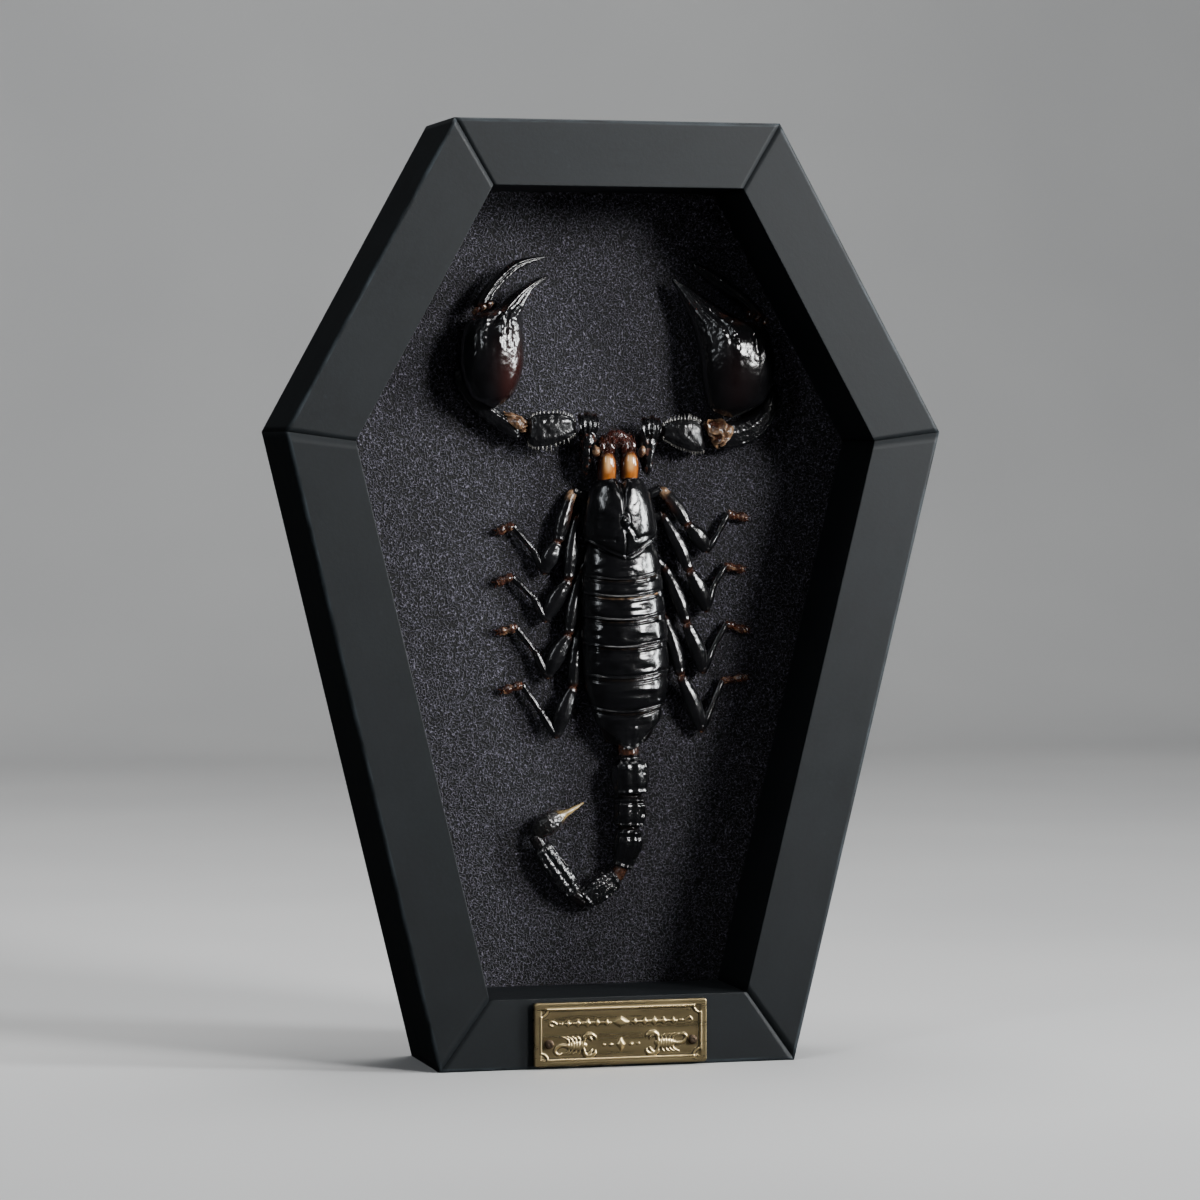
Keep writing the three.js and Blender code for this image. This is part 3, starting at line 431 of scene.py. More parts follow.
class Finish:
    """A material being made: node() adds any node, and the other calls are its common uses."""

    def __init__(self, name):
        self.material = bpy.data.materials.new(name)
        self.material.use_nodes = True
        self.tree = self.material.node_tree
        self.tree.nodes.clear()

    def node(self, kind, settings=None, inputs=None, output=0):
        """Any node: its settings, then its inputs as values or links, and one of its outputs."""
        made = self.tree.nodes.new(kind)
        for key, value in (settings or {}).items():
            setattr(made, key, value)
        for key, value in (inputs or {}).items():
            if isinstance(value, Value):
                self.tree.links.new(value.socket, made.inputs[key])
            else:
                made.inputs[key].default_value = value
        return Value(self, made.outputs[output])

    def place(self, turn=(0, 0, 0), scale=(1, 1, 1)):
        """Object coordinates, turned and then stretched."""
        raw = self.node("ShaderNodeTexCoord", output="Object")
        turned = self.node("ShaderNodeMapping", None, {"Vector": raw, "Rotation": turn})
        return self.node("ShaderNodeMapping", None, {"Vector": turned, "Scale": scale})

    def noise(self, vector, scale, detail=2.0, roughness=0.5):
        """Cloudy noise, about 0.3 to 0.7."""
        inputs = {"Vector": vector, "Scale": scale, "Detail": detail, "Roughness": roughness}
        return self.node("ShaderNodeTexNoise", None, inputs)

    def cells(self, vector, scale):
        """The distance to the nearest of a scatter of points."""
        return self.node("ShaderNodeTexVoronoi", {"feature": "F1"}, {"Vector": vector, "Scale": scale})

    def mask(self, name):
        """A piece's own mask."""
        return self.node("ShaderNodeAttribute", {"attribute_name": name}, output="Fac")

    def between(self, value, low, high):
        """0 below low, 1 above high, straight between them."""
        inputs = {"Value": value, "From Min": low, "From Max": high}
        return self.node("ShaderNodeMapRange", {"clamp": True}, inputs)

    def mix(self, share, first, second):
        """A colour between two colours."""
        inputs = {0: share, 6: first, 7: second}
        return self.node("ShaderNodeMix", {"data_type": "RGBA"}, inputs, output=2)

    def bump(self, height, distance, strength=1.0):
        """A normal tilted by the slope of a height, whose 0 to 1 stands for the distance."""
        inputs = {"Strength": strength, "Distance": distance, "Height": height}
        return self.node("ShaderNodeBump", None, inputs)

    def done(self, **sockets):
        """Closes the material with a principled surface and gives it back."""
        inputs = {key.replace("_", " "): value for key, value in sockets.items()}
        surface = self.node("ShaderNodeBsdfPrincipled", None, inputs)
        output = self.tree.nodes.new("ShaderNodeOutputMaterial")
        self.tree.links.new(surface.socket, output.inputs["Surface"])
        return self.material


def colour(values):
    """A property's colour as the four numbers that a socket takes."""
    return (*tuple(values)[:3], 1.0)


def shade(values, factor):
    """A colour made lighter or darker."""
    return (*[min(1.0, v * factor) for v in tuple(values)[:3]], 1.0)


# Colours that aren't among the settings
RED_SHELL = (0.020, 0.0048, 0.004, 1.0)
# Painted highlight on the comb teeth
TOOTH_HIGHLIGHT = (0.25, 0.24, 0.22, 1.0)
# Painted highlight along the jaw's crown
CREAM_HIGHLIGHT = (0.66, 0.40, 0.17, 1.0)
# The jaws' own dark brown, also used as painted shade down their sides
JAW_BROWN_AND_SHADE = (0.020, 0.006, 0.004, 1.0)
BULB_DARK = (0.003, 0.003, 0.0035, 1.0)
BULB_LIGHT = (0.012, 0.011, 0.010, 1.0)
LACQUER = (0.016, 0.011, 0.006, 1.0)
BRONZE_LIGHT = (0.12, 0.085, 0.055, 1.0)
BRONZE_DARK = (0.045, 0.03, 0.02, 1.0)
BOARD_DARK = (0.085, 0.048, 0.026, 1.0)
BOARD_LIGHT = (0.19, 0.12, 0.07, 1.0)
BOARD_FLECK = (0.03, 0.018, 0.010, 1.0)
STEEL_DARK = (0.33, 0.33, 0.32, 1.0)
STEEL_LIGHT = (0.55, 0.55, 0.54, 1.0)
RUST = (0.13, 0.07, 0.04, 1.0)


def paint_finish(name, turn, sizes):
    """Satin black paint on timber: mottling, a trace of grain, small dents, and outer arrises painted
    lighter, partly as rubbed paint and partly as a painted highlight.
    """
    f = Finish(name)
    here = f.place(turn)
    grain = f.noise(f.place(turn, (110, 700, 700)), 1.0, 4.0, 0.6)
    cloud = f.noise(here, 130.0, 3.0, 0.6)
    speck = f.noise(here, 1500.0, 3.0, 0.65)
    rub = f.noise(f.place(turn, (120, 400, 400)), 1.0, 4.0, 0.65)
    # The outer arrises painted up to six times lighter: partly paint rubbed through, partly a painted
    # highlight along the edge.
    rubbed_and_highlit = f.between(f.mask("arris") * (rub + 0.25), 0.62, 0.95)
    dent = f.between(f.cells(here, 160.0), 0.1, 0.02)
    base = colour(sizes.paint)
    painted = f.mix(f.between(cloud, 0.3, 0.7), shade(base, 0.85), shade(base, 1.15))
    painted = f.mix(f.between(speck, 0.4, 0.7) * 0.5, painted, shade(base, 1.6))
    painted = f.mix(f.between(grain, 0.5, 0.7) * 0.2, painted, shade(base, 0.5))
    painted = f.mix(dent * 0.35, painted, shade(base, 2.4))
    painted = f.mix(rubbed_and_highlit * 0.8, painted, shade(base, 6.0))
    height = grain * 0.25 + speck * 0.7 + cloud * 0.35 - dent * 0.2
    return f.done(
        Base_Color=painted,
        Roughness=(speck * 0.14 + cloud * 0.1 + 0.42).limited(),
        Normal=f.bump(height, 0.00005, 0.5),
        Specular_IOR_Level=0.22,
    )


def fabric_finish(sizes):
    """Black crepe: a maze of raised threads about half a millimetre apart, with painted shade in the dips
    between them and painted glints on their crowns.
    """
    f = Finish("black_crepe")
    size = 1.0 / (sizes.fabric_grain * MM)
    here = f.place()
    maze = f.noise(here, size * 1.15, 1.0, 0.45)
    fine = f.noise(here, size * 2.6, 2.0, 0.6)
    broad = f.noise(here, 60.0, 2.0, 0.5)
    ridge = (1 - abs(maze - 0.5) * 7.0).limited()
    thread = (ridge * 0.75 + fine * 0.4).limited()
    base = colour(sizes.fabric)
    # Painted shade and highlight: the dips between the threads painted nearly black and their crowns twice as
    # light.
    tone = f.mix(f.between(thread, 0.35, 0.85), shade(base, 0.04), shade(base, 2.0))
    tone = f.mix(f.between(broad, 0.35, 0.7) * 0.3, tone, shade(base, 0.8))
    # A painted highlight: glints painted into the colour, fourteen times lighter, on the thread crowns.
    painted_glint = f.between(f.noise(here, size * 1.5, 1.0, 0.5) * ridge, 0.4, 0.58)
    tone = f.mix(painted_glint * 0.8, tone, shade(base, 14.0))
    return f.done(
        Base_Color=tone,
        Roughness=(0.75 - painted_glint * 0.35).limited(),
        Normal=f.bump(thread, 0.0003, 1.0),
        Specular_IOR_Level=0.35,
        Sheen_Weight=0.06,
        Sheen_Roughness=0.4,
        Sheen_Tint=(0.75, 0.75, 0.9, 1.0),
    )


def shell_finish(name, sizes, rough=0.12, lift=1.0):
    """Black chitin: varnish-like gloss, brown where it thins at joints, pale where membrane shows with
    painted shade in its folds, and a painted highlight of grey on the comb teeth.

    The masks warm, red, pale and grain say where, and one more mask says where the teeth get their painted
    highlight."""
    f = Finish(name)
    here = f.place()
    cloud = f.noise(here, 260.0, 3.0, 0.6)
    fine = f.noise(here, 2400.0, 3.0, 0.6)
    leather = f.noise(here, 1100.0, 4.0, 0.65)
    pits = f.cells(here, 3600.0)
    grain = f.mask("grain")
    black = shade(sizes.shell, lift)
    tone = f.mix(f.between(cloud, 0.35, 0.7), shade(black, 0.7), shade(black, 1.6))
    tone = f.mix((grain * fine * 0.8).limited(), tone, shade(black, 3.5))
    tone = f.mix(f.mask("red").limited(), tone, RED_SHELL)
    brown = f.mix(f.between(fine, 0.35, 0.65), colour(sizes.joint), shade(sizes.joint, 0.3))
    tone = f.mix(f.mask("warm").limited(), tone, brown)
    # Painted shade: the membrane colour falls to a third where the leathery bump dips.
    fold_shade = f.between(leather, 0.38, 0.6)
    skin_tone = f.mix(fold_shade, colour(sizes.membrane), shade(sizes.membrane, 0.3))
    tone = f.mix(f.mask("pale").limited(), tone, skin_tone)
    # A painted highlight: the comb teeth painted pale grey, as if catching the light.
    tone = f.mix(f.mask("chalk").limited(), tone, TOOTH_HIGHLIGHT)
    dull = (f.mask("pale") * 0.16 + f.mask("warm") * 0.1 + grain * 0.1).limited()
    texture = fine * 0.35 + leather * 0.6 + pits * (grain * 0.4 + 0.04)
    return f.done(
        Base_Color=tone,
        Roughness=(cloud * 0.1 + dull + rough).limited(),
        Normal=f.bump(texture, 0.00008, 0.8),
        IOR=1.5,
        Coat_Weight=0.2,
        Coat_Roughness=0.04,
    )


def jaw_finish(sizes):
    """Amber jaw shell: a painted highlight of cream along its crown, painted shade of dark brown down its
    sides, the fingers' own dark brown, and a clear gloss.
    """
    f = Finish("amber_jaw")
    here = f.place()
    cloud = f.noise(here, 500.0, 3.0, 0.6)
    streak = f.noise(f.place(scale=(1400, 1400, 300)), 1.0, 3.0, 0.6)
    amber = f.mix(f.between(streak, 0.35, 0.7), colour(sizes.amber), shade(sizes.amber, 0.55))
    # A painted highlight: cream painted along the jaw's crown.
    tone = f.mix((f.mask("light") * (streak + 0.4)).limited(), amber, CREAM_HIGHLIGHT)
    # Dark brown: the fingers' and front's own colour, and painted shade down the barrel's sides.
    tone = f.mix((f.mask("dark") + cloud * 0.3 - 0.12).limited(), tone, JAW_BROWN_AND_SHADE)
    return f.done(
        Base_Color=tone,
        Roughness=(cloud * 0.12 + 0.1).limited(),
        Normal=f.bump(streak, 0.00004, 0.4),
        IOR=1.5,
        Subsurface_Weight=0.15,
        Subsurface_Radius=(0.002, 0.0008, 0.0003),
        Coat_Weight=0.5,
        Coat_Roughness=0.05,
    )


def hair_finish():
    """Stiff red-brown bristles."""
    f = Finish("red_bristle")
    cloud = f.noise(f.place(), 900.0, 2.0, 0.5)
    tone = f.mix(f.between(cloud, 0.35, 0.65), (0.10, 0.022, 0.012, 1.0), (0.02, 0.008, 0.006, 1.0))
    return f.done(Base_Color=tone, Roughness=cloud * 0.2 + 0.3)


def sting_finish(sizes):
    """Telson: black bulb that turns to pale yellow horn along the sting."""
    f = Finish("sting_horn")
    here = f.place()
    cloud = f.noise(here, 700.0, 3.0, 0.6)
    fine = f.noise(here, 2600.0, 3.0, 0.6)
    dark = f.mix(f.between(fine, 0.35, 0.7), BULB_DARK, BULB_LIGHT)
    horn = f.mix(f.between(cloud, 0.3, 0.7), colour(sizes.horn), shade(sizes.horn, 0.4))
    tone = f.mix(f.mask("horn").limited(), dark, horn)
    return f.done(
        Base_Color=tone,
        Roughness=(cloud * 0.2 + f.mask("grain") * 0.08 + 0.12).limited(),
        Normal=f.bump(fine, 0.00005, 0.6),
        IOR=1.55,
        Coat_Weight=0.3,
    )


def brass_finish(sizes):
    """Antique brass: dark lacquer in the hollows, rubbed bright on the relief, fine brushing across."""
    f = Finish("antique_brass")
    brushed = f.noise(f.place(scale=(70, 800, 900)), 1.0, 2.0, 0.5)
    cloud = f.noise(f.place(scale=(120, 300, 400)), 1.0, 3.0, 0.6)
    field = f.mix(f.between(brushed, 0.3, 0.7), shade(sizes.brass, 0.8), shade(sizes.brass, 1.0))
    tone = f.mix(f.between(cloud, 0.4, 0.7) * 0.4, field, shade(sizes.brass, 0.5))
    tone = f.mix((f.mask("hollow") * 1.5).limited(), tone, LACQUER)
    tone = f.mix(f.between(f.mask("relief"), 0.35, 0.95), tone, shade(sizes.brass, 1.7))
    return f.done(
        Base_Color=tone,
        Metallic=(0.95 - f.mask("hollow") * 0.5).limited(),
        Roughness=(brushed * 0.1 + f.mask("hollow") * 0.25 + 0.23).limited(),
        Normal=f.bump(brushed, 0.00001, 0.3),
    )


def bronze_finish():
    """Dark bronze rivet heads."""
    f = Finish("dark_bronze")
    cloud = f.noise(f.place(), 1500.0, 3.0, 0.6)
    tone = f.mix(f.between(cloud, 0.35, 0.65), BRONZE_LIGHT, BRONZE_DARK)
    return f.done(
        Base_Color=tone,
        Metallic=0.9,
        Roughness=cloud * 0.3 + 0.28,
        Normal=f.bump(cloud, 0.00003, 0.5),
    )


def board_finish():
    """Brown hardboard: pressed fibres with darker flecks."""
    f = Finish("hardboard")
    here = f.place()
    fibre = f.noise(f.place(scale=(500, 500, 2500)), 1.0, 4.0, 0.7)
    cross = f.noise(f.place(scale=(2500, 500, 500)), 1.0, 4.0, 0.7)
    fleck = f.between(f.noise(here, 900.0, 3.0, 0.6), 0.62, 0.72)
    mat = (fibre + cross) * 0.5
    tone = f.mix(f.between(mat, 0.4, 0.6), BOARD_DARK, BOARD_LIGHT)
    tone = f.mix(fleck * 0.6, tone, BOARD_FLECK)
    return f.done(Base_Color=tone, Roughness=mat * 0.3 + 0.55, Normal=f.bump(mat, 0.00012, 0.6))


def steel_finish():
    """Rolled spring steel with faint rust stains."""
    f = Finish("spring_steel")
    rolled = f.noise(f.place(scale=(3000, 300, 300)), 1.0, 3.0, 0.6)
    stain = f.between(f.noise(f.place(), 500.0, 4.0, 0.7), 0.6, 0.75)
    tone = f.mix(f.between(rolled, 0.35, 0.65), STEEL_DARK, STEEL_LIGHT)
    tone = f.mix(stain * 0.5, tone, RUST)
    return f.done(
        Base_Color=tone,
        Metallic=(1 - stain * 0.5).limited(),
        Roughness=(rolled * 0.2 + stain * 0.3 + 0.25).limited(),
        Normal=f.bump(rolled, 0.00002, 0.5),
    )


# Frame, lining and back


def side_axes(i):
    """The unit direction of side i of the outline and the one from it into the opening."""
    along = unit(OUTER[(i + 1) % 6] - OUTER[i])
    return along, np.array([along[1], -along[0]])


def inset_corner(i, widths):
    """Corner i moved inwards: where its two sides cross once each is moved by its own width."""
    before = (i + 5) % 6
    along_a, inward_a = side_axes(before)
    _, inward_b = side_axes(i)
    start_a = OUTER[before] + inward_a * widths[before]
    start_b = OUTER[i] + inward_b * widths[i]
    return start_a + along_a * ((start_b - start_a) @ inward_b) / (along_a @ inward_b)


def softened(corners, radii, steps=7):
    """An outline with each corner replaced by a quadratic curve, and two points that keep the flats flat.

    Gives with it the number of the corner that each point belongs to, counted from 1, and 0 on a flat."""
    corners = np.asarray(corners, float)
    points = []
    on_curve = []
    for k in range(len(corners)):
        back = unit(corners[k - 1] - corners[k])
        ahead = unit(corners[(k + 1) % len(corners)] - corners[k])
        s = np.linspace(0, 1, steps)[:, None]
        curve = corners[k] + radii[k] * (back * (1 - s) ** 2 + ahead * s**2)
        lead = corners[k] + radii[k] * 1.25 * back
        leave = corners[k] + radii[k] * 1.25 * ahead
        points += [lead[None], curve, leave[None]]
        on_curve += [0] + [k + 1] * steps + [0]
    return np.concatenate(points), np.array(on_curve)


# The softened corners of the widest joint stay this share within the square ones
CORNER_EASE = 0.9994

# How far each corner of a rail's section is rounded, and the half width of a joint
ARRIS_RADII = [0.8, 0.22, 0.4, 0.2, 0.3, 0.6]
MITRE_GAP = 0.03


def rail_shape(i):
    """One mitred rail: a rebated section with softened arrises carried along its side.

    Both ends slide in proportion to the distance across the face, which makes the mitres. They meet
    almost without a line, as the paint runs over them."""
    face = FACES[i]
    start = OUTER[i]
    along, inward = side_axes(i)
    length = np.linalg.norm(OUTER[(i + 1) % 6] - start)
    start_slide = (inset_corner(i, FACES) - start) @ along
    end_slide = length - (inset_corner((i + 1) % 6, FACES) - start) @ along
    ledge = face - REBATE
    corners = [(0, 0), (face, 0), (face, LIP), (ledge, LIP), (ledge, DEPTH), (0, DEPTH)]
    section, curve = softened(corners, ARRIS_RADII)
    middle = section.mean(axis=0)
    rows = np.concatenate([[0], np.linspace(0, 1, 60), [1]])
    size = np.ones(len(rows))
    size[[0, -1]] = 0
    spread = middle + (section - middle) * size[:, None, None]
    across, depth = spread[..., 0], spread[..., 1]
    share = across / face
    first = start_slide * share + MITRE_GAP
    last = length - end_slide * share - MITRE_GAP
    s = first + (last - first) * rows[:, None]
    flat = start + along * s[..., None] + inward * across[..., None]
    points = np.stack([flat[..., 0] * CORNER_EASE, FRONT_Y + depth, flat[..., 1]], -1)
    return skin(points, arris=(curve == 1).astype(float))


def lining_shape():
    """The fabric: a thin six-sided sheet with a slight unevenness where it was glued down.

    Each row runs across the front and back again behind, its half width read off the outline's height."""
    widths = FACES - REBATE + PANEL_PLAY
    corners = np.array([inset_corner(k, widths) for k in range(6)])
    heights = corners[[0, 5, 4], 1]
    halves = corners[[0, 5, 4], 0]
    rows = np.unique(np.concatenate([np.linspace(heights[0], heights[2], 150), heights[1:2]]))
    rows = np.concatenate([rows[:1], rows, rows[-1:]])
    half = np.interp(rows, heights, halves)[:, None]
    across = np.linspace(-1, 1, 100)
    u = np.concatenate([across, np.linspace(1, -1, len(across))])
    behind = np.repeat([0.0, 1.0], len(across))
    x = half * u
    z = np.broadcast_to(rows[:, None], x.shape)
    places = np.stack([x, np.zeros_like(x), z], -1)
    uneven = 0.1 * lumps(places, 14.0, 4) + 0.05 * lumps(places, 4.0, 5)
    edge = ramp(np.minimum.reduce([half - np.abs(x), z - rows[0], rows[-1] - z]), 0, 2.0)
    y = LINING_Y + 0.45 * behind + 0.1 * (1 - behind) + uneven * (1 - behind) * 0.6 * edge
    middle = LINING_Y + 0.25
    y[[0, -1]] = middle
    y = np.where(np.abs(u) == 1, middle, y)
    following = np.roll(corners, -1, axis=0)
    area = abs(np.sum(corners[:, 0] * following[:, 1] - corners[:, 1] * following[:, 0])) / 2
    return skin(np.stack([x, y, z], -1)), area, 2 * halves.max(), heights[2] - heights[0]


# A sprung tab: how deep it sits in its slot, its straight part, its round tip and its half width
TAB_SLOT = 3.2
TAB_STRAIGHT = 4.5
TAB_TIP = 2.9
TAB_HALF = 3.5


def tab_shape(i, k):
    """A sprung tab: a thin strip with a round tip that bows up out of its slot and presses on the board."""
    along, inward = side_axes(i)
    length = np.linalg.norm(OUTER[(i + 1) % 6] - OUTER[i])
    wall = OUTER[i] + along * length * (k + 1) / (TABS[i] + 1) + inward * (FACES[i] - REBATE)
    tip = TAB_STRAIGHT + TAB_TIP * np.sin(np.linspace(0.05, 1.5708, 24))
    out = np.concatenate([[-TAB_SLOT, -TAB_SLOT], np.linspace(0.1 - TAB_SLOT, TAB_STRAIGHT, 24), tip])
    rounding = np.sqrt(np.clip(1 - ((out - TAB_STRAIGHT) / TAB_TIP) ** 2, 0, 1))
    half = np.where(out < TAB_STRAIGHT, TAB_HALF, TAB_HALF * rounding)
    half[0] = 0
    bow = 0.34 * hill(out, 2.0, 1.4) - (TAB_Y - BOARD_BACK_Y - 0.22) * hill(out, 5.4, 1.5)
    angle = np.linspace(0, 2 * np.pi, 28, endpoint=False)
    across = squared_off(np.cos(angle), 0.25)
    rise = squared_off(np.sin(angle), 0.6)
    thick = np.where(half > 0.3, 0.2, 0.2 * half / 0.3)
    a = half[:, None] * across
    flat = wall + inward * out[:, None, None] + along * a[..., None]
    y = TAB_Y + bow[:, None] + thick[:, None] * rise
    return skin(np.stack([flat[..., 0], y, flat[..., 1]], -1))


# Plaque

PLAQUE_WIDTH = 37.8
PLAQUE_HEIGHT = 13.5
PLAQUE_CENTRE = 7.4
PLAQUE_THICKNESS = 1.2
PLAQUE_CORNER = 0.6
PLAQUE_RELIEF = 0.33
PLAQUE_INSET = 1.25
PLAQUE_Y = FRONT_Y - 0.3
ORNAMENT_Y = 2.3
FIGURES_Y = -2.4
FIGURE_SIZE = 1.17
RIVET_X = 15.7
RIVET_Y = -1.9


def stroke(x, y, path, radii, height, samples=40):
    """The relief of a rounded line: the height of a dome over the nearest place on a smooth path."""
    t = np.linspace(0, 1, samples)
    places = spline(path, t)
    sizes = spline(radii, t)
    best = np.zeros_like(x)
    for (px, py), radius in zip(places, sizes):
        reach = np.clip(1 - ((x - px) ** 2 + (y - py) ** 2) / radius**2, 0, 1)
        best = np.maximum(best, height * np.sqrt(reach) * min(1.0, radius / 0.28))
    return best


def lozenge(x, y, centre_x, centre_y, half_x, half_y, height):
    """A faceted four-sided stud: its height falls straight from the middle to the outline."""
    far = np.abs(x - centre_x) / half_x + np.abs(y - centre_y) / half_y
    return height * np.clip((1 - far) * 2.2, 0, 1) ** 0.8


def figure_relief(x, y, middle_x, turn):
    """A small scorpion in relief, head towards +x, turned end for end on the right of the plaque."""
    x = (x - middle_x) * turn / FIGURE_SIZE
    y = (y - FIGURES_Y) * turn / FIGURE_SIZE
    best = stroke(x, y, [(1.5, 0), (0.6, 0), (-0.6, 0), (-1.7, 0)], [0.55, 0.85, 0.8, 0.4], 0.33)
    best = best * (1 - 0.18 * hill(np.mod(x, 0.5), 0.25, 0.09))
    tail = [(-1.6, 0), (-2.6, 0.12), (-3.5, -0.2), (-3.9, -0.95), (-3.4, -1.5), (-2.75, -1.35)]
    best = np.maximum(best, stroke(x, y, tail, [0.36, 0.34, 0.32, 0.3, 0.26, 0.12], 0.3))
    for side in (1, -1):
        arm = [(1.3, 0.25 * side), (1.5, 0.95 * side), (1.6, 1.5 * side), (2.25, 1.9 * side)]
        best = np.maximum(best, stroke(x, y, arm, [0.3, 0.3, 0.4, 0.5], 0.32))
        claw = [(2.1, 1.85 * side), (2.9, 1.9 * side), (3.5, 1.5 * side), (3.6, 1.0 * side)]
        best = np.maximum(best, stroke(x, y, claw, [0.5, 0.42, 0.3, 0.12], 0.32))
        thumb = [(2.2, 1.7 * side), (2.6, 1.35 * side), (2.9, 0.95 * side), (3.0, 0.7 * side)]
        best = np.maximum(best, stroke(x, y, thumb, [0.42, 0.32, 0.22, 0.1], 0.3))
        for k, root in enumerate((0.75, 0.05, -0.65, -1.3)):
            lean = -0.25 - 0.12 * k
            leg = [(root, 0.5 * side), (root + lean * 0.4, 1.15 * side), (root + lean * 2, 1.6 * side)]
            best = np.maximum(best, stroke(x, y, leg, [0.2, 0.19, 0.1], 0.26, 14))
    return best


def plaque_relief(x, y):
    """All that stands up from the plaque's field: rule with scooped corners, ornament and two figures."""
    half_w = PLAQUE_WIDTH / 2 - PLAQUE_INSET
    half_h = PLAQUE_HEIGHT / 2 - PLAQUE_INSET
    box = np.maximum(np.abs(x) - half_w, np.abs(y) - half_h)
    corner = np.hypot(np.abs(x) - half_w, np.abs(y) - half_h)
    edge = np.maximum(box, 1.5 - corner)
    best = PLAQUE_RELIEF * np.sqrt(np.clip(1 - ((edge + 0.2) / 0.26) ** 2, 0, 1))
    from_line = y - ORNAMENT_Y
    best = np.maximum(best, lozenge(x, y, 0, ORNAMENT_Y, 1.9, 1.3, 0.34))
    best = np.maximum(best, 0.3 * np.sqrt(np.clip(1 - (x**2 + from_line**2) / 0.09, 0, 1)))
    for side in (-1, 1):
        taper = 0.4 * np.clip(1 - np.abs(x - side * 7.3) / 5.3, 0, 1) ** 0.5 + 1e-6
        line = 0.26 * np.sqrt(np.clip(1 - (from_line / taper) ** 2, 0, 1))
        best = np.maximum(best, line * (np.abs(x - side * 7.3) < 5.3))
        for k, place in enumerate((3.1, 5.2, 7.3, 9.4, 11.5)):
            size = 1 - 0.12 * abs(k - 2)
            best = np.maximum(best, lozenge(x, y, side * place, ORNAMENT_Y, 0.95 * size, size, 0.33))
        dash = [(side * 12.9, ORNAMENT_Y), (side * 13.5, ORNAMENT_Y)]
        best = np.maximum(best, stroke(x, y, dash, [0.26, 0.3], 0.3, 8))
        curl = [(side * 14.0, 2.3), (side * 15.1, 2.9), (side * 15.6, 2.2), (side * 15.0, 1.9)]
        best = np.maximum(best, stroke(x, y, curl, [0.2, 0.24, 0.22, 0.2], 0.28, 24))
    best = np.maximum(best, lozenge(x, y, 0, FIGURES_Y, 1.0, 1.6, 0.33))
    best = np.maximum(best, lozenge(x, y, 0, FIGURES_Y, 0.5, 0.8, 0.36))
    for side in (-1, 1):
        best = np.maximum(best, lozenge(x, y, side * 2.2, FIGURES_Y, 0.62, 0.42, 0.28))
        dash = [(side * 3.5, FIGURES_Y), (side * 3.9, FIGURES_Y)]
        best = np.maximum(best, stroke(x, y, dash, [0.2, 0.24], 0.26, 8))
    best = np.maximum(best, figure_relief(x, y, -9.8, 1))
    best = np.maximum(best, figure_relief(x, y, 9.8, -1))
    return best


def plaque_shape():
    """The plaque as a height over a flat grid, with softened edges, straight sides and a flat back.

    Gives the masks relief, what stands up, and hollow, how far the field lies below what is round it."""
    columns = 350
    rows = 134
    half_w = PLAQUE_WIDTH / 2
    half_h = PLAQUE_HEIGHT / 2
    x, y = np.meshgrid(half_w * np.linspace(-1, 1, columns), half_h * np.linspace(-1, 1, rows))
    radius = PLAQUE_CORNER
    over_x = np.maximum(np.abs(x) - (half_w - radius), 0)
    over_y = np.maximum(np.abs(y) - (half_h - radius), 0)
    far = np.maximum(np.hypot(over_x, over_y), 1e-9)
    pull = np.maximum(over_x, over_y) / far
    x = np.sign(x) * (np.minimum(np.abs(x), half_w - radius) + over_x * pull)
    y = np.sign(y) * (np.minimum(np.abs(y), half_h - radius) + over_y * pull)
    relief = plaque_relief(x, y)
    over_x = np.maximum(np.abs(x) - (half_w - radius), 0)
    over_y = np.maximum(np.abs(y) - (half_h - radius), 0)
    inside = radius - np.hypot(over_x, over_y)
    edge = np.where(inside < radius, inside, np.minimum(half_w - np.abs(x), half_h - np.abs(y)))
    soft = 0.25 * (1 - np.sqrt(np.clip(1 - (1 - np.clip(edge / 0.25, 0, 1)) ** 2, 0, 1)))
    box = np.maximum(np.abs(x) - (half_w - PLAQUE_INSET), np.abs(y) - (half_h - PLAQUE_INSET))
    field = 0.14 * ramp(-box, 0.05, 0.5)
    brushed = 0.001 * lumps(np.stack([x * 0.2, y, x * 0], -1), 0.4)
    top = PLAQUE_THICKNESS - soft - field + relief + brushed
    steps = (-3, -1, 0, 1, 3)
    near = sum(np.roll(relief, (a, b), (0, 1)) for a in steps for b in steps) / len(steps) ** 2
    hollow = np.clip((near - relief) / 0.13, 0, 1)
    front = np.stack([x, top, y], -1)
    back = np.stack([x, np.zeros_like(x), y], -1)
    rim = np.stack([x, np.full_like(x, PLAQUE_THICKNESS - 0.25), y], -1)
    ring = np.concatenate([front, rim[:, -1:], back[:, ::-1], rim[:, :1]], axis=1)
    ends = []
    for row in (rim[:1], rim[-1:]):
        ends.append(np.concatenate([row, row[:, -1:], row[:, ::-1], row[:, :1]], axis=1))
    grid = np.concatenate([ends[0], ring, ends[1]])
    pad = np.zeros((rows, 1))
    none = np.zeros((rows, columns))

    def wide(mask):
        """A mask of the front as one of the whole grid, 0 behind and at both ends."""
        body = np.concatenate([mask, pad, none, pad], axis=1)
        return np.concatenate([body[:1] * 0, body, body[:1] * 0])

    bright = np.clip(relief / PLAQUE_RELIEF, 0, 1) + 0.5 * ramp(box, -0.1, 0.1)
    points = np.stack([grid[..., 0], PLAQUE_Y - grid[..., 1], PLAQUE_CENTRE + grid[..., 2]], -1)
    return skin(points, relief=wide(bright), hollow=wide(hollow))


# The rivet's radius and its place on its axis, from the end of the shank to the dent in the crown
RIVET_SHANK = [(0, -4.6), (0.5, -4.4), (0.5, 1.25)]
RIVET_HEAD = [(0.95, 1.25), (1.05, 1.4), (1.0, 1.6), (0.8, 1.8), (0.45, 1.88), (0, 1.84)]


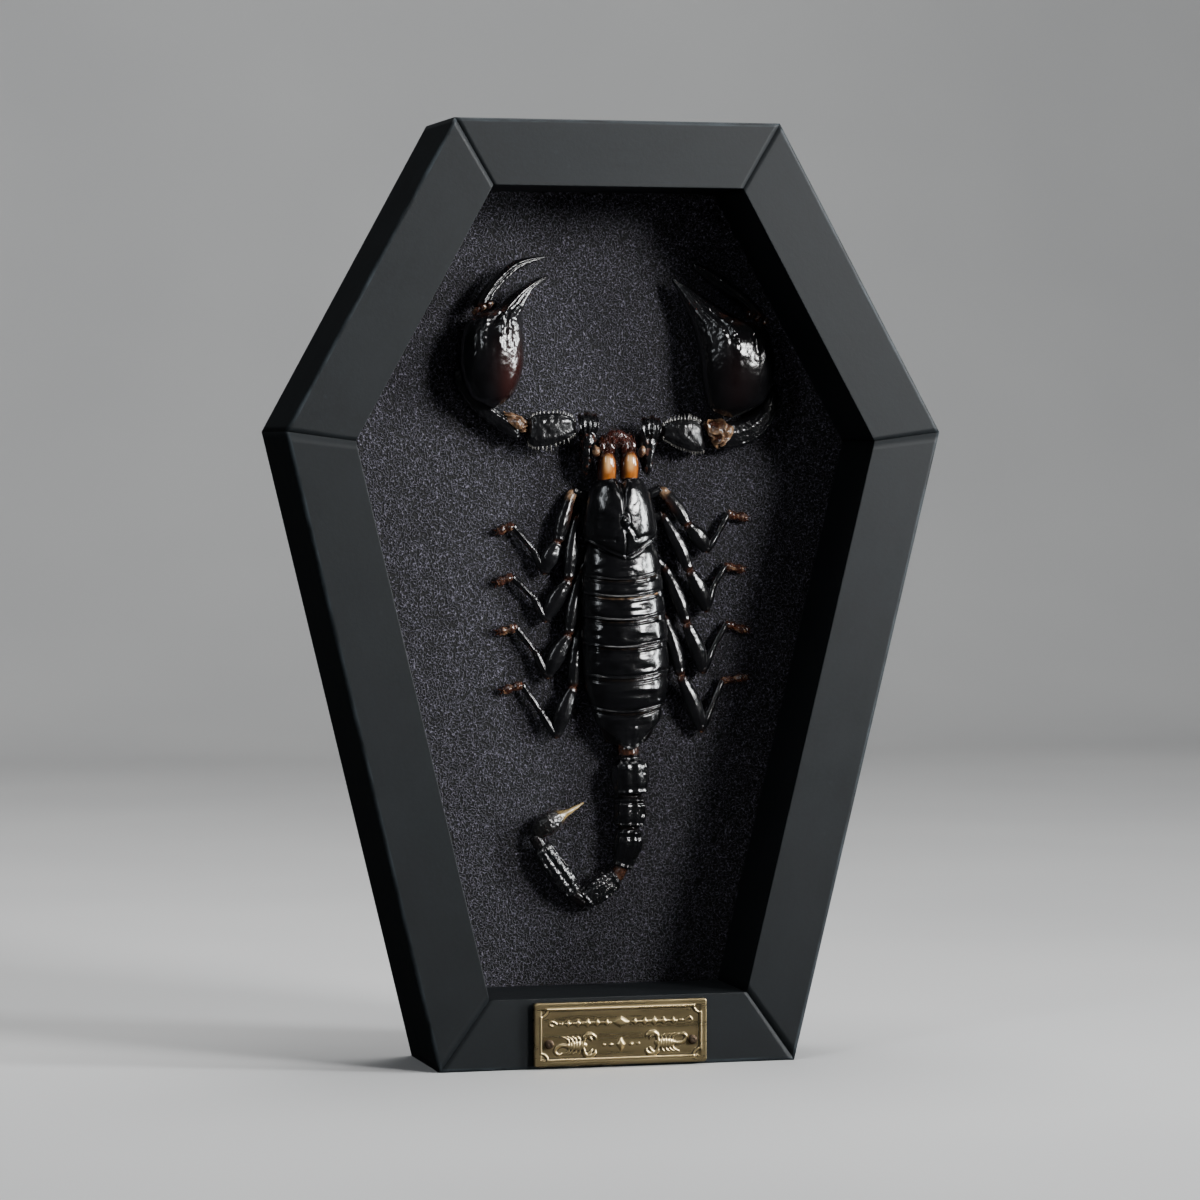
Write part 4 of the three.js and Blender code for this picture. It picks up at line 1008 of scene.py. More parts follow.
def rivet_shape(side):
    """A rivet turned about its own axis: shank, undercut, domed head and a shallow dent in its crown."""
    profile = np.array(RIVET_SHANK + RIVET_HEAD)
    corners = np.arange(len(profile))
    place = np.linspace(0, 1, 60) * corners[-1]
    path = np.stack([np.interp(place, corners, profile[:, k]) for k in range(2)], -1)
    angle = np.linspace(0, 2 * np.pi, 40, endpoint=False)
    radius = path[:, :1] * (1 + 0.02 * np.cos(3 * angle))
    x = side * RIVET_X + radius * np.cos(angle)
    z = PLAQUE_CENTRE + RIVET_Y + radius * np.sin(angle)
    y = np.broadcast_to(PLAQUE_Y - path[:, 1:], x.shape)
    return skin(np.stack([x, y, z], -1))


# Trunk: head shield, back plates and belly

SHIELD = {
    "along": [0, 0.08, 0.3, 0.6, 0.9, 1],
    "half": [5.6, 6.2, 7.1, 7.9, 8.3, 8.2],
    "top": [7.0, 8.0, 9.1, 9.5, 9.1, 8.4],
}
SHIELD_SIDE = 13.0
SHIELD_MIDDLE = 17.4
SHIELD_FLOOR = [
    [-4.2, -1.6, 4.2, -1.6, 3.2, 6.2],
    [-6.0, -5.0, 6.0, -5.0, 2.7, 7.4],
    [-7.0, -9.0, 7.0, -9.0, 2.6, 7.8],
    [-7.4, -12.6, 7.4, -12.6, 2.6, 7.4],
]
RIM = 4.6
PLATE_ENDS = [21.8, 25.6, 30.6, 36.5, 43.2, 50.6, 58.6]
PLATE_OVERLAP = 0.9
BELLY = {
    "at": [13, 25, 36, 44, 51, 58.6],
    "half": [8.2, 9.1, 9.6, 9.4, 7.6, 4.9],
    "top": [8.7, 9.3, 9.3, 8.7, 7.4, 5.9],
    "under": [2.8, 2.6, 2.5, 2.3, 2.0, 1.8],
}


def eased(value, places, heights):
    """A smooth reading of a table at any value: a cubic with the slopes of its neighbours' chords."""
    places = np.asarray(places, float)
    heights = np.asarray(heights, float)
    slopes = np.gradient(heights, places)
    k = np.clip(np.searchsorted(places, value) - 1, 0, len(places) - 2)
    span = places[k + 1] - places[k]
    s = np.clip((value - places[k]) / span, 0, 1)
    a = 2 * s**3 - 3 * s**2 + 1
    b = s**3 - 2 * s**2 + s
    c = -2 * s**3 + 3 * s**2
    d = s**3 - s**2
    return a * heights[k] + b * span * slopes[k] + c * heights[k + 1] + d * span * slopes[k + 1]


def arch(u, top, rim):
    """Height of a back plate: a flattened arch that comes down steeply to its rim."""
    return rim + (top - rim) * np.clip(1 - np.abs(u) ** 2.1, 0, 1) ** 0.62


def plate(rows, columns, outline, height, thickness, **masks):
    """A curved plate with rounded rims: each row runs over its top and back along its underside.

    outline(u, v) gives x and y, and height(x, y, u, v) the top. So does each mask, from the same four."""
    over = np.sin(np.linspace(-np.pi / 2, np.pi / 2, columns))
    over = 0.6 * over + 0.4 * np.linspace(-1, 1, columns)
    u, v = np.meshgrid(np.concatenate([over, over[::-1]]), crowded(rows, 0.5))
    x, y = outline(u, v)
    z = height(x, y, u, v)
    half = np.abs(x).max(axis=1, keepdims=True)
    length = np.abs(y[-1] - y[0])[None]
    edge = np.minimum.reduce([half * (1 - np.abs(u)), length * v, length * (1 - v)])
    soft = np.sqrt(1 - (1 - np.clip(edge / 0.45, 0, 1)) ** 2)
    side = np.where(np.arange(2 * columns) < columns, -1, 1)
    z = z - thickness / 2 * (1 + side * soft)
    values = {key: mask(x, y, u, v) for key, mask in masks.items()}
    return skin(np.stack([x, y, z], -1), **values)


def groove(x, y, start, end, width):
    """1 along a straight line between two places, falling off to both sides as a bell curve."""
    start = np.asarray(start, float)
    step = np.asarray(end, float) - start
    s = np.clip(((x - start[0]) * step[0] + (y - start[1]) * step[1]) / (step @ step), 0, 1)
    far = np.hypot(x - start[0] - s * step[0], y - start[1] - s * step[1])
    return np.exp(-((far / width) ** 2))


def shield_outline(u, v):
    """The head shield's plan: a notched front edge, a bowed rear one, and its half width in between."""
    front = 1.3 * np.exp(-((u / 0.17) ** 2)) + 1.2 * u**4 - 0.3
    rear = SHIELD_SIDE + (SHIELD_MIDDLE - SHIELD_SIDE) * (1 - np.abs(u) ** 1.3)
    half = eased(v, SHIELD["along"], SHIELD["half"])
    return half * u, -(front + (rear - front) * v)


def shield_height(x, y, u, v):
    """The head shield's top: arch, two front lobes, a furrow down to the eye mound, soft rear hollows."""
    z = arch(u, eased(v, SHIELD["along"], SHIELD["top"]), RIM)
    z = z - 0.55 * hill(x, 0.0, 1.2) * ramp(-y, 5.5, 0.5)
    z = z - 0.65 * hill(x, 0.0, 0.3) * ramp(-y, 0.3, 1.6) * ramp(-y, 8.4, 7.2)
    z = z - 0.3 * hill(x, 0.0, 0.25) * ramp(-y, 10.3, 11.3)
    across = np.hypot(x / 0.8, (y + 9.1) / 1.4)
    z = z + 0.5 * np.exp(-(across**4)) - 0.1 * hill(across, 1.35, 0.35)
    for side in (-1, 1):
        eye = np.hypot(x - side * 0.45, y + 8.9)
        z = z + 0.14 * np.exp(-((eye / 0.25) ** 4))
        z = z - 0.14 * groove(x, y, (side * 0.9, -10.3), (side * 2.6, -13.0), 0.4)
        z = z - 0.16 * groove(x, y, (side * 2.6, -13.0), (side * 6.4, -12.4), 0.5)
        z = z - 0.05 * groove(x, y, (side * 1.3, -7.4), (side * 4.8, -3.4), 0.6)
        z = z + 0.14 * hill(np.hypot((x - side * 1.5) / 0.6, (y + 12.4) / 1.1), 0, 1)
    rear = shield_outline(u, np.ones_like(v))[1]
    z = z + 0.24 * hill(y - rear, 0.3, 0.25) - 0.2 * hill(y - rear, 0.95, 0.35)
    points = np.stack([x, y, z], -1)
    z = z + 0.1 * lumps(points, 2.1, 1) + 0.02 * lumps(points, 0.75, 2)
    flank = ramp(np.abs(u), 0.6, 0.95)
    return z + 0.07 * flank * grains(points, 0.6, 5)


def shield_grain(x, y, u, v):
    """How grainy the head shield is: more towards its sides."""
    return 0.5 * ramp(np.abs(u), 0.7, 1.0)


def shield_shape():
    """The head shield and the soft floor beneath it."""
    top = plate(190, 150, shield_outline, shield_height, 0.9, grain=shield_grain)
    floor, _, _ = swollen(SHIELD_FLOOR, 60, 60, (0.15, 0.15), 0.7)
    floor = displaced(floor, 0.15 * lumps(floor, 1.0, 8))
    return together([top, skin(floor, grain=0.8)])


def plate_shape(k):
    """Back plate k: a smooth convex band, its front tucked under the plate before, its rear lip raised."""
    front = SHIELD_SIDE if k == 0 else PLATE_ENDS[k - 1]
    rear = PLATE_ENDS[k]
    front_bow = SHIELD_MIDDLE - SHIELD_SIDE if k == 0 else 0.0
    last = k == len(PLATE_ENDS) - 1
    rear_bow = 3.4 if last else 1.2
    length = rear - front + PLATE_OVERLAP

    def outline(u, v):
        """The plate's plan: from its tucked front edge to its bowed rear one."""
        a = front - PLATE_OVERLAP + front_bow * (1 - np.abs(u) ** 1.4) - 1.2 * (k > 0) * u**2
        b = rear - rear_bow * u**2
        at = a + (b - a) * v
        half = eased(at, BELLY["at"], BELLY["half"]) - (1.6 if k == 0 else 0.35) * (1 - v) ** 2
        half = half + 0.1 * np.sin(np.pi * v)
        if last:
            half = half * (1 - 0.3 * ramp(v, 0.45, 1.0) ** 2)
        return half * u, -at

    def height(x, y, u, v):
        """The plate's top: an arch with a rear lip, a front furrow, two dimples, waves and grains."""
        z = arch(u, eased(-y, BELLY["at"], BELLY["top"]), RIM - 0.2)
        from_rear = (1 - v) * length
        from_front = v * length - PLATE_OVERLAP
        z = z - 1.0 * (1 - v) ** 2.4 + 0.14 * np.sin(np.pi * v)
        z = z + 0.2 * hill(from_rear, 0.22, 0.2) - 0.2 * hill(from_rear, 0.75, 0.28)
        z = z - 0.24 * hill(from_front, 0.75, 0.22)
        for side in (-1, 1):
            z = z - 0.1 * hill(np.hypot((x - side * 4.6) / 1.5, (v - 0.62) / 0.16), 0, 1)
        points = np.stack([x, y, z], -1)
        wrinkle = np.stack([x * 0.25, y, z * 0], -1)
        z = z + 0.11 * lumps(wrinkle, 0.95, 3 + k) + 0.13 * lumps(points, 2.3, k)
        z = z + 0.01 * lumps(points, 0.6, k)
        rough = ramp(np.abs(u), 0.8, 1.0) * 0.5
        if last:
            fold = np.stack([x, y * 0.3, z * 0], -1)
            z = z + 0.09 * lumps(fold, 0.9, 15) * ramp(v, 0.2, 0.5)
            rough = rough + 0.5 * ramp(v, 0.3, 0.9)
        return z + 0.13 * rough * grains(points, 0.55, 11 + k)

    def grain(x, y, u, v):
        """How grainy the plate is: more towards its sides, and towards the rear of the last one."""
        rear_grain = 0.35 * ramp(v, 0.3, 0.9) if last else 0
        return np.clip(0.3 * ramp(np.abs(u), 0.75, 1.0) + rear_grain, 0, 1)

    def pale(x, y, u, v):
        """Where bare membrane shows: a broken line at the plate's front, strongest on the third."""
        tint = 0.75 if k == 2 else 0.08
        line = hill(v * length - PLATE_OVERLAP, 0.12, 0.22)
        return tint * line * (u > -0.75) * (0.6 + 0.4 * np.sin(3 * x))

    return plate(84 if last else 60, 96, outline, height, 0.4, grain=grain, pale=pale)


def belly_shape():
    """The soft body under the back plates: a swollen tube with pleats that run along each flank."""
    at = np.linspace(13, 58.2, 12)
    half = eased(at, BELLY["at"], BELLY["half"]) - 0.4 - 1.5 * ramp(at, 20, 13)
    under = eased(at, BELLY["at"], BELLY["under"])
    top = eased(at, BELLY["at"], BELLY["top"]) - 2.0
    stations = np.column_stack([-half, -at, half, -at, under, top])
    points, t, angle = swollen(stations, 130, 64, (0.05, 0.05), 0.8)
    flank = np.abs(np.cos(angle)) ** 4
    pleat = 0.24 * flank * lumps(points * (1.0, 0.3, 1.0), 0.75, 3)
    points = displaced(points, pleat - 0.1 + 0.04 * lumps(points, 0.8, 6))
    warm = np.clip(0.5 * flank * hill(points[..., 2], RIM - 0.2, 0.5), 0, 1)
    return skin(points, grain=0.3, warm=0.25 * warm * ramp(t, 0.3, 0.6))


# The jaw's barrel about its own middle line, which is this far from the trunk's
JAW_BARREL = [
    [-1.95, -0.9, 1.95, -0.9, 3.2, 6.2],
    [-2.1, 0.9, 2.05, 0.9, 3.0, 7.2],
    [-2.1, 3.0, 2.05, 3.0, 2.9, 7.8],
    [-1.75, 5.2, 1.7, 5.2, 3.1, 7.3],
    [-1.0, 7.4, 1.0, 7.4, 3.5, 6.0],
]
JAW_APART = 2.5


def jaw_shape(side):
    """A jaw: amber barrel, then a fixed and a moving finger that fold across each other, with teeth."""
    barrel, t, angle = swollen(JAW_BARREL, 110, 90, (0.12, 0.3), 1.0)
    across = np.cos(angle)
    barrel = displaced(barrel, 0.03 * lumps(barrel, 0.9, 4))
    # Painted shade down the barrel's sides where they turn away, and the front's own dark brown.
    dark = 0.95 * ramp(np.abs(across), 0.42, 0.85) + ramp(t, 0.6, 0.84)
    # A painted highlight of cream along the barrel's crown.
    light = hill(across, 0.2, 0.34) * ramp(t, 0.25, 0.5) * ramp(t, 0.82, 0.66)
    shapes = [skin(barrel, dark=np.clip(dark, 0, 1), light=light)]
    for offset, lean, drop in ((-0.95 * side, 0.55 * side, 0.0), (0.85 * side, -0.15 * side, 0.5)):
        path = [
            (offset, 5.2, 5.2 - drop),
            (offset + lean * 0.3, 6.9, 5.4 - drop),
            (offset + lean * 1.1, 8.4, 5.0 - drop),
            (offset + lean * 2.4, 9.6, 4.2 - drop),
        ]
        points, t, angle = tube(path, [0.95, 0.95, 0.65, 0.2], [0.9, 1.0, 0.7, 0.2], 50, 28, (0.1, 0.2))
        bite = 0.16 * np.clip(np.cos(t * 24), 0, 1) * np.clip(np.cos(angle) * side, 0, 1)
        points = displaced(points, bite + 0.08 * lumps(points, 0.5, 7))
        shapes.append(skin(points, dark=1.0))
    return moved(together(shapes), lambda points: points + (side * JAW_APART, 0, 0))


def fringe(count):
    """The red-brown flesh and bristles in front of the jaws: a rumpled lobe with a mat of hair."""
    path = [(-3.0, 7.6, 4.2), (-1.4, 8.6, 4.8), (0.2, 8.9, 5.0), (1.8, 8.6, 4.8), (3.4, 7.4, 4.2)]
    widths = [0.8, 1.3, 1.7, 1.3, 0.7]
    flesh, _, _ = tube(path, widths, [0.9, 1.2, 1.5, 1.2, 0.9], 110, 80, (0.2, 0.2))
    flesh = displaced(flesh, 0.42 * lumps(flesh, 1.0, 2) + 0.2 * np.abs(lumps(flesh, 0.5, 5)) - 0.2)
    random = dice(count, 21)
    more = dice(count, 22)
    roots = np.array([-3.6, 6.0, 4.2]) + np.array([7.4, 3.2, 2.6]) * random
    roots[:, 1] -= 0.1 * roots[:, 0] ** 2
    sideways = (more[:, 0] - 0.5) * 1.2 - 0.1 * roots[:, 0]
    ahead = np.stack([sideways, np.full(count, 0.9), more[:, 1] * 0.9], -1)
    mat = hairs(roots, ahead, 1.0 + 1.2 * more[:, 2], 0.035, 0.35, 23)
    return skin(flesh, red=1.0, warm=0.05, grain=0.2), mat


# Arms: the edges of each piece, as [left x, left y, right x, right y, underside, top]

ARMS = {
    "left": {
        "base": [
            [-3.6, 125.2, -1.2, 124.6, 1.6, 5.6],
            [-3.9, 129.5, -0.9, 130.4, 1.0, 6.2],
            [-4.0, 133.6, 0.2, 132.4, 0.7, 6.4],
            [-3.9, 136.4, 0.3, 136.6, 0.9, 6.6],
            [-2.9, 138.4, -0.8, 138.6, 2.2, 5.4],
        ],
        "femur": [
            [-4.6, 134.2, -4.6, 136.6, 1.6, 5.0],
            [-6.6, 133.2, -6.3, 137.9, 0.8, 5.9],
            [-10.3, 131.7, -9.0, 138.5, 0.5, 6.4],
            [-13.9, 131.3, -13.2, 138.3, 0.6, 6.2],
            [-15.6, 132.4, -15.2, 137.3, 1.4, 5.2],
        ],
        "patella": [
            [-16.8, 133.6, -16.2, 137.2, 1.2, 4.6],
            [-18.3, 132.9, -19.2, 138.4, 0.6, 5.4],
            [-23.5, 136.1, -21.8, 139.8, 0.4, 5.2],
            [-27.9, 139.8, -24.6, 143.0, 0.4, 5.0],
            [-31.0, 144.3, -27.4, 146.4, 0.5, 5.0],
            [-31.5, 147.6, -29.4, 148.4, 1.2, 4.2],
        ],
        "hand": [
            [-24.8, 139.4, -21.8, 139.4, 4.6, 7.4],
            [-28.4, 142.2, -18.9, 142.8, 2.6, 9.8],
            [-30.5, 147.6, -16.9, 148.4, 1.0, 11.0],
            [-30.3, 153.6, -16.9, 154.6, 0.5, 10.8],
            [-28.2, 158.4, -17.0, 158.8, 0.6, 9.4],
            [-22.8, 160.6, -16.0, 161.6, 1.2, 7.4],
            [-18.4, 164.0, -14.2, 164.8, 1.6, 6.2],
            [-13.8, 166.9, -12.0, 166.6, 2.2, 5.0],
            [-10.6, 168.1, -10.2, 167.9, 2.8, 3.6],
        ],
        "finger": [
            [-27.3, 160.6, -23.7, 162.2, 1.6, 7.4],
            [-26.2, 163.2, -22.6, 164.2, 1.4, 7.0],
            [-22.5, 167.8, -19.8, 167.2, 1.6, 6.2],
            [-17.8, 171.2, -16.4, 169.7, 2.2, 5.2],
            [-11.1, 172.3, -11.0, 171.9, 2.8, 3.6],
        ],
        "membrane": [
            [-15.3, 134.4, -15.3, 137.6, 1.6, 5.2],
            [-17.0, 134.4, -17.4, 138.4, 1.4, 6.2],
            [-18.6, 135.4, -19.4, 138.8, 1.4, 6.0],
            [-20.4, 137.2, -21.2, 139.2, 2.0, 5.2],
        ],
        "outer": 1,
    },
    "right": {
        "base": [
            [10.4, 124.6, 12.8, 125.2, 1.6, 5.6],
            [9.6, 128.6, 12.9, 129.0, 1.0, 6.2],
            [9.0, 132.6, 13.6, 132.2, 0.7, 6.4],
            [9.3, 135.6, 13.4, 136.0, 0.9, 6.6],
            [10.4, 137.4, 12.4, 137.6, 2.2, 5.4],
        ],
        "femur": [
            [14.3, 136.0, 14.3, 133.4, 1.6, 5.0],
            [16.8, 136.9, 16.8, 131.9, 0.8, 5.9],
            [20.7, 137.2, 20.5, 130.5, 0.5, 6.4],
            [23.4, 136.7, 24.4, 130.0, 1.2, 5.4],
        ],
        "patella": [
            [24.4, 136.2, 26.0, 131.4, 1.2, 4.6],
            [28.0, 136.6, 28.8, 130.6, 0.6, 5.4],
            [32.6, 137.4, 34.5, 131.9, 0.4, 5.2],
            [35.6, 139.4, 38.4, 134.7, 0.4, 5.0],
            [37.6, 142.2, 40.7, 138.9, 0.5, 5.0],
            [39.4, 144.6, 41.2, 143.4, 1.2, 4.2],
        ],
        "hand": [
            [27.6, 137.2, 32.4, 138.0, 4.8, 7.4],
            [24.3, 140.2, 36.9, 141.2, 2.6, 9.8],
            [23.1, 146.0, 39.1, 147.0, 1.0, 11.0],
            [22.5, 152.0, 38.9, 152.6, 0.5, 10.8],
            [21.4, 157.0, 37.4, 156.6, 0.6, 9.4],
            [20.2, 160.2, 31.4, 159.2, 1.2, 7.4],
            [19.0, 163.0, 25.8, 162.5, 1.6, 6.2],
            [17.8, 165.6, 21.2, 165.4, 2.2, 5.0],
            [16.8, 167.5, 17.3, 167.7, 2.8, 3.6],
        ],
        "finger": [
            [33.4, 160.6, 37.8, 158.6, 1.6, 7.4],
            [31.2, 162.7, 35.6, 161.8, 1.4, 7.0],
            [27.2, 165.2, 30.7, 166.2, 1.6, 6.2],
            [23.9, 167.8, 26.2, 169.5, 2.2, 5.2],
            [21.3, 170.7, 21.6, 171.1, 2.8, 3.6],
        ],
        "membrane": [
            [23.6, 137.2, 29.2, 137.2, 1.6, 5.2],
            [24.2, 135.4, 30.2, 135.4, 1.4, 6.6],
            [25.4, 133.0, 29.8, 133.2, 1.4, 6.4],
            [26.6, 130.8, 28.4, 131.2, 1.8, 5.4],
        ],
        "outer": -1,
    },
}


def hand_shape(arm):
    """The swollen hand and its fixed finger: keels that fan from the wrist and run out along the finger,
    scales along the inner margin, leathery creases elsewhere, and a saw of teeth on the cutting edge."""
    points, t, angle = swollen(arm["hand"], 270, 220, (0.12, 0.04), 0.92)
    outer = arm["outer"] * np.cos(angle)
    top = ramp(np.sin(angle), -0.15, 0.25)
    grow = ramp(t, 0.12, 0.4) * ramp(t, 1.0, 0.9)
    narrow = 1 - 0.65 * ramp(t, 0.5, 0.8)
    uneven = 0.65 + 0.45 * lumps(points, 0.75, 21)
    keel = 0
    for place, drift, height, width, start, end in (
        (0.66, 0.08, 0.24, 0.09, 0.16, 0.62),
        (0.3, 0.26, 0.5, 0.08, 0.26, 0.66),
        (-0.08, 0.06, 0.75, 0.09, 0.26, 1.0),
        (-0.42, 0.14, 0.5, 0.08, 0.3, 1.0),
        (-0.72, 0.05, 0.24, 0.08, 0.26, 1.0),
    ):
        line = place + drift * ramp(t, 0.2, 0.9) + 0.04 * np.sin(t * 13 + place * 9)
        run = ramp(t, start, start + 0.2) * ramp(t, end, end - 0.08)
        keel = keel + height * hill(outer, line, width) * uneven * run
    inner = ramp(outer, 0.0, -0.55)
    scales = grains(points * np.array([1, 1, 0.8]), 0.85, 31) ** 0.8
    crease = lumps(np.stack(np.broadcast_arrays(outer * 7, t * 10, 0.0), -1), 1.0, 25)
    knuckle = ramp(t, 0.5, 0.56) * ramp(t, 0.68, 0.64) * ramp(outer, 0.0, 0.4)
    rough = 0.12 * scales * inner * ramp(t, 0.2, 0.36) * ramp(t, 0.86, 0.7)
    rough = rough + 0.05 * grains(points, 0.45, 32) * ramp(t, 0.25, 0.5)
    rough = rough + 0.3 * knuckle * lumps(points, 0.8, 33)
    rough = rough + 0.11 * crease * ramp(t, 0.22, 0.45)
    hollow = -0.45 * hill(outer, 0.12, 0.11) * ramp(t, 0.4, 0.55) * top
    amount = (keel + hollow) * top * narrow * grow + rough * (0.35 + 0.65 * top) * narrow
    amount = amount + 0.05 * lumps(points, 1.4, 6) * grow + 0.025 * lumps(points, 0.4, 7)
    teeth = np.clip(np.cos(t * 330), 0, 1) * hill(outer, 0.95, 0.12) * ramp(t, 0.66, 0.72)
    amount = amount + 0.22 * teeth * ramp(t, 1.0, 0.92)
    points = displaced(points, amount * rounded_ends(t, 0.1, 0.05))
    points = off_fabric(points, 0.35)
    patch, strength = (-0.5, 0.9) if arm["outer"] > 0 else (-0.1, 0.15)
    red = strength * (hill(np.hypot((t - 0.24) / 0.14, (outer - patch) / 0.42), 0, 1) * top)
    warm = 0.25 * knuckle * np.clip(lumps(points, 0.6, 34) + 0.4, 0, 1)
    grain = np.clip(0.5 * inner * ramp(t, 0.2, 0.45) + 0.2 * ramp(t, 0.6, 0.8), 0, 1)
    return skin(points, red=red, warm=warm, grain=grain)


def finger_shape(arm):
    """The moving finger: a curved blade with two uneven ridges along it and a saw on its inner edge."""
    points, t, angle = swollen(arm["finger"], 210, 90, (0.08, 0.05), 0.85)
    outer = arm["outer"] * np.cos(angle)
    top = ramp(np.sin(angle), -0.1, 0.3)
    uneven = 0.65 + 0.45 * lumps(points, 0.6, 22)
    thin = 1 - 0.7 * ramp(t, 0.4, 1.0)
    amount = 0.34 * hill(outer, 0.15, 0.16) * uneven * top * thin
    amount = amount + 0.3 * hill(outer, -0.55, 0.13) * uneven * top * thin
    amount = amount - 0.24 * hill(outer, -0.22, 0.18) * top * thin
    amount = amount + 0.2 * hill(outer, 0.75, 0.14) * top * thin
    teeth = 0.24 * np.clip(np.cos(t * 190), 0, 1) * hill(outer, -0.95, 0.12)
    amount = amount + teeth * ramp(t, 0.12, 0.2)
    amount = amount + 0.1 * grains(points, 0.45, 41) * (1 - t) + 0.04 * lumps(points, 0.6, 9)
    points = displaced(points, amount * rounded_ends(t, 0.08, 0.08))
    warm = 0.45 * ramp(t, 0.14, 0.0) * np.clip(0.5 + lumps(points, 0.7, 35), 0, 1)
    shapes = [skin(points, warm=warm, grain=0.2 + 0.15 * np.abs(outer))]
    outside = np.array(arm["finger"][0][:2])
    inside = np.array(arm["finger"][0][2:4])
    if arm["outer"] < 0:
        outside, inside = inside, outside
    for share, size in ((0.1, 0.8), (0.5, 0.7), (0.88, 1.0)):
        x, y = outside * (1 - share) + inside * share
        path = [(x - 0.4, y - 1.0, 4.6), (x, y - 0.4, 5.6), (x + 0.3, y + 0.3, 5.4)]
        knob, _, _ = tube(path, [0.5, 0.8 * size, 0.4], [0.6, 1.1 * size, 0.5], 40, 32, (0.3, 0.3))
        knob = displaced(knob, 0.22 * lumps(knob, 0.5, 12))
        fleck = ramp(lumps(knob, 0.55, 13), 0.0, 0.5)
        bare = ramp(lumps(knob, 0.5, 14), 0.25, 0.6)
        shapes.append(skin(knob, warm=0.1 + 0.45 * fleck, pale=0.5 * bare))
    return together(shapes)


def comb(edge, outward_xy, count, length, radius, seed):
    """A comb of teeth along a smooth edge, each leaning a little and varying in length."""
    t = np.linspace(0.06, 0.94, count)
    roots = spline(edge, t)
    uneven = dice(count, seed)
    size = length * (0.65 + 0.6 * uneven[:, 0]) * (0.6 + 0.4 * np.sin(np.pi * t))
    direction = np.asarray(outward_xy, float) + (uneven[:, 1:3] - 0.5) * 0.5
    tips = roots.copy()
    tips[:, :2] += direction * size[:, None]
    tips[:, 2] += 0.1
    starts = roots.copy()
    starts[:, :2] -= direction * 0.35
    # The teeth carry a painted highlight of pale grey.
    return spines(starts, tips, radius * (0.8 + 0.4 * uneven[:, 2]), chalk=0.45)


def femur_shape(arm):
    """The arm's femur: a leathery box-like segment with a comb of teeth along each edge."""
    stations = np.asarray(arm["femur"], float)
    points, t, angle = swollen(stations, 150, 120, (0.12, 0.1), 0.7)
    across = np.cos(angle)
    top = ramp(np.sin(angle), -0.1, 0.3)
    grain = 0.09 * grains(points, 0.4, 51) * (0.3 + 0.7 * np.abs(across))
    amount = 0.13 * lumps(points, 0.9, 3) + grain
    amount = amount + 0.24 * (hill(across, 0.84, 0.1) + hill(across, -0.84, 0.1)) * top
    amount = amount - 0.16 * hill(across, 0.05, 0.4) * top
    points = displaced(points, amount * rounded_ends(t, 0.1, 0.1))
    warm = 0.5 * ramp(t, 0.05, 0.0) + 0.3 * ramp(t, 0.96, 1.0)
    body = skin(points, grain=0.5 - 0.2 * np.abs(across) + 0 * t, warm=0.6 * warm)
    level = np.full(len(stations), 4.6)
    left = np.column_stack([stations[:, :2], level])
    right = np.column_stack([stations[:, 2:4], level])
    down = np.sign(stations[2, 1] - stations[2, 3])
    first = comb(left, (0.15, down), 15, 1.15, 0.3, 61)
    second = comb(right, (0.15, -down), 17, 0.85, 0.28, 62)
    return together([body, first, second])


def patella_shape(arm):
    """The arm's patella: a bent strip beside the hand, with a raised beaded rim on its outer edge."""
    points, t, angle = swollen(arm["patella"], 170, 100, (0.1, 0.08), 0.75)
    outer = arm["outer"] * np.cos(angle)
    top = ramp(np.sin(angle), -0.1, 0.3)
    beads = 0.65 + 0.45 * lumps(points, 0.6, 73)
    amount = 0.3 * hill(outer, 0.75, 0.13) * top * beads + 0.2 * hill(outer, -0.1, 0.15) * top
    amount = amount + 0.1 * grains(points, 0.5, 71) + 0.06 * lumps(points, 0.9, 5)
    amount = amount + 0.3 * hill(outer, 0.95, 0.15) * np.clip(np.cos(t * 75), 0, 1)
    points = displaced(points, (amount - 0.12) * rounded_ends(t, 0.1, 0.1))
    points = off_fabric(points, 0.32)
    return skin(points, grain=0.2 + 0.1 * top + 0 * t, warm=0.3 * ramp(t, 0.06, 0.0))


def membrane_shape(arm):
    """The crumpled tan membrane at the elbow: sharp folds along the joint, paler on their crests as a painted
    highlight and darker in their dips as painted shade.
    """
    points, _, angle = swollen(arm["membrane"], 110, 100, (0.2, 0.2), 0.8)
    wave = np.sin(angle * 3 + 3 * lumps(points, 1.8, 3))
    fold = (1 - np.abs(wave)) * ramp(np.sin(angle), -0.2, 0.4)
    amount = 0.55 * fold - 0.3 + 0.3 * lumps(points, 1.2, 4)
    points = displaced(points, amount + 0.05 * lumps(points, 0.4, 5))
    # Painted highlight and shade: the tan shows on the fold crests and the dips stay dark.
    pale = np.clip(0.1 + 1.0 * fold**1.5 + 0.35 * lumps(points, 0.9, 6), 0, 1)
    return skin(points, pale=pale, warm=0.35, grain=0.1)


# Each leaf of the fan at the arm's root: how far out and up its tip is, its half width and its top
BASE_LEAVES = ((-2.2, 1.6, 1.0, 6.4), (-0.7, 2.1, 1.15, 6.9), (1.1, 1.8, 1.15, 6.7))


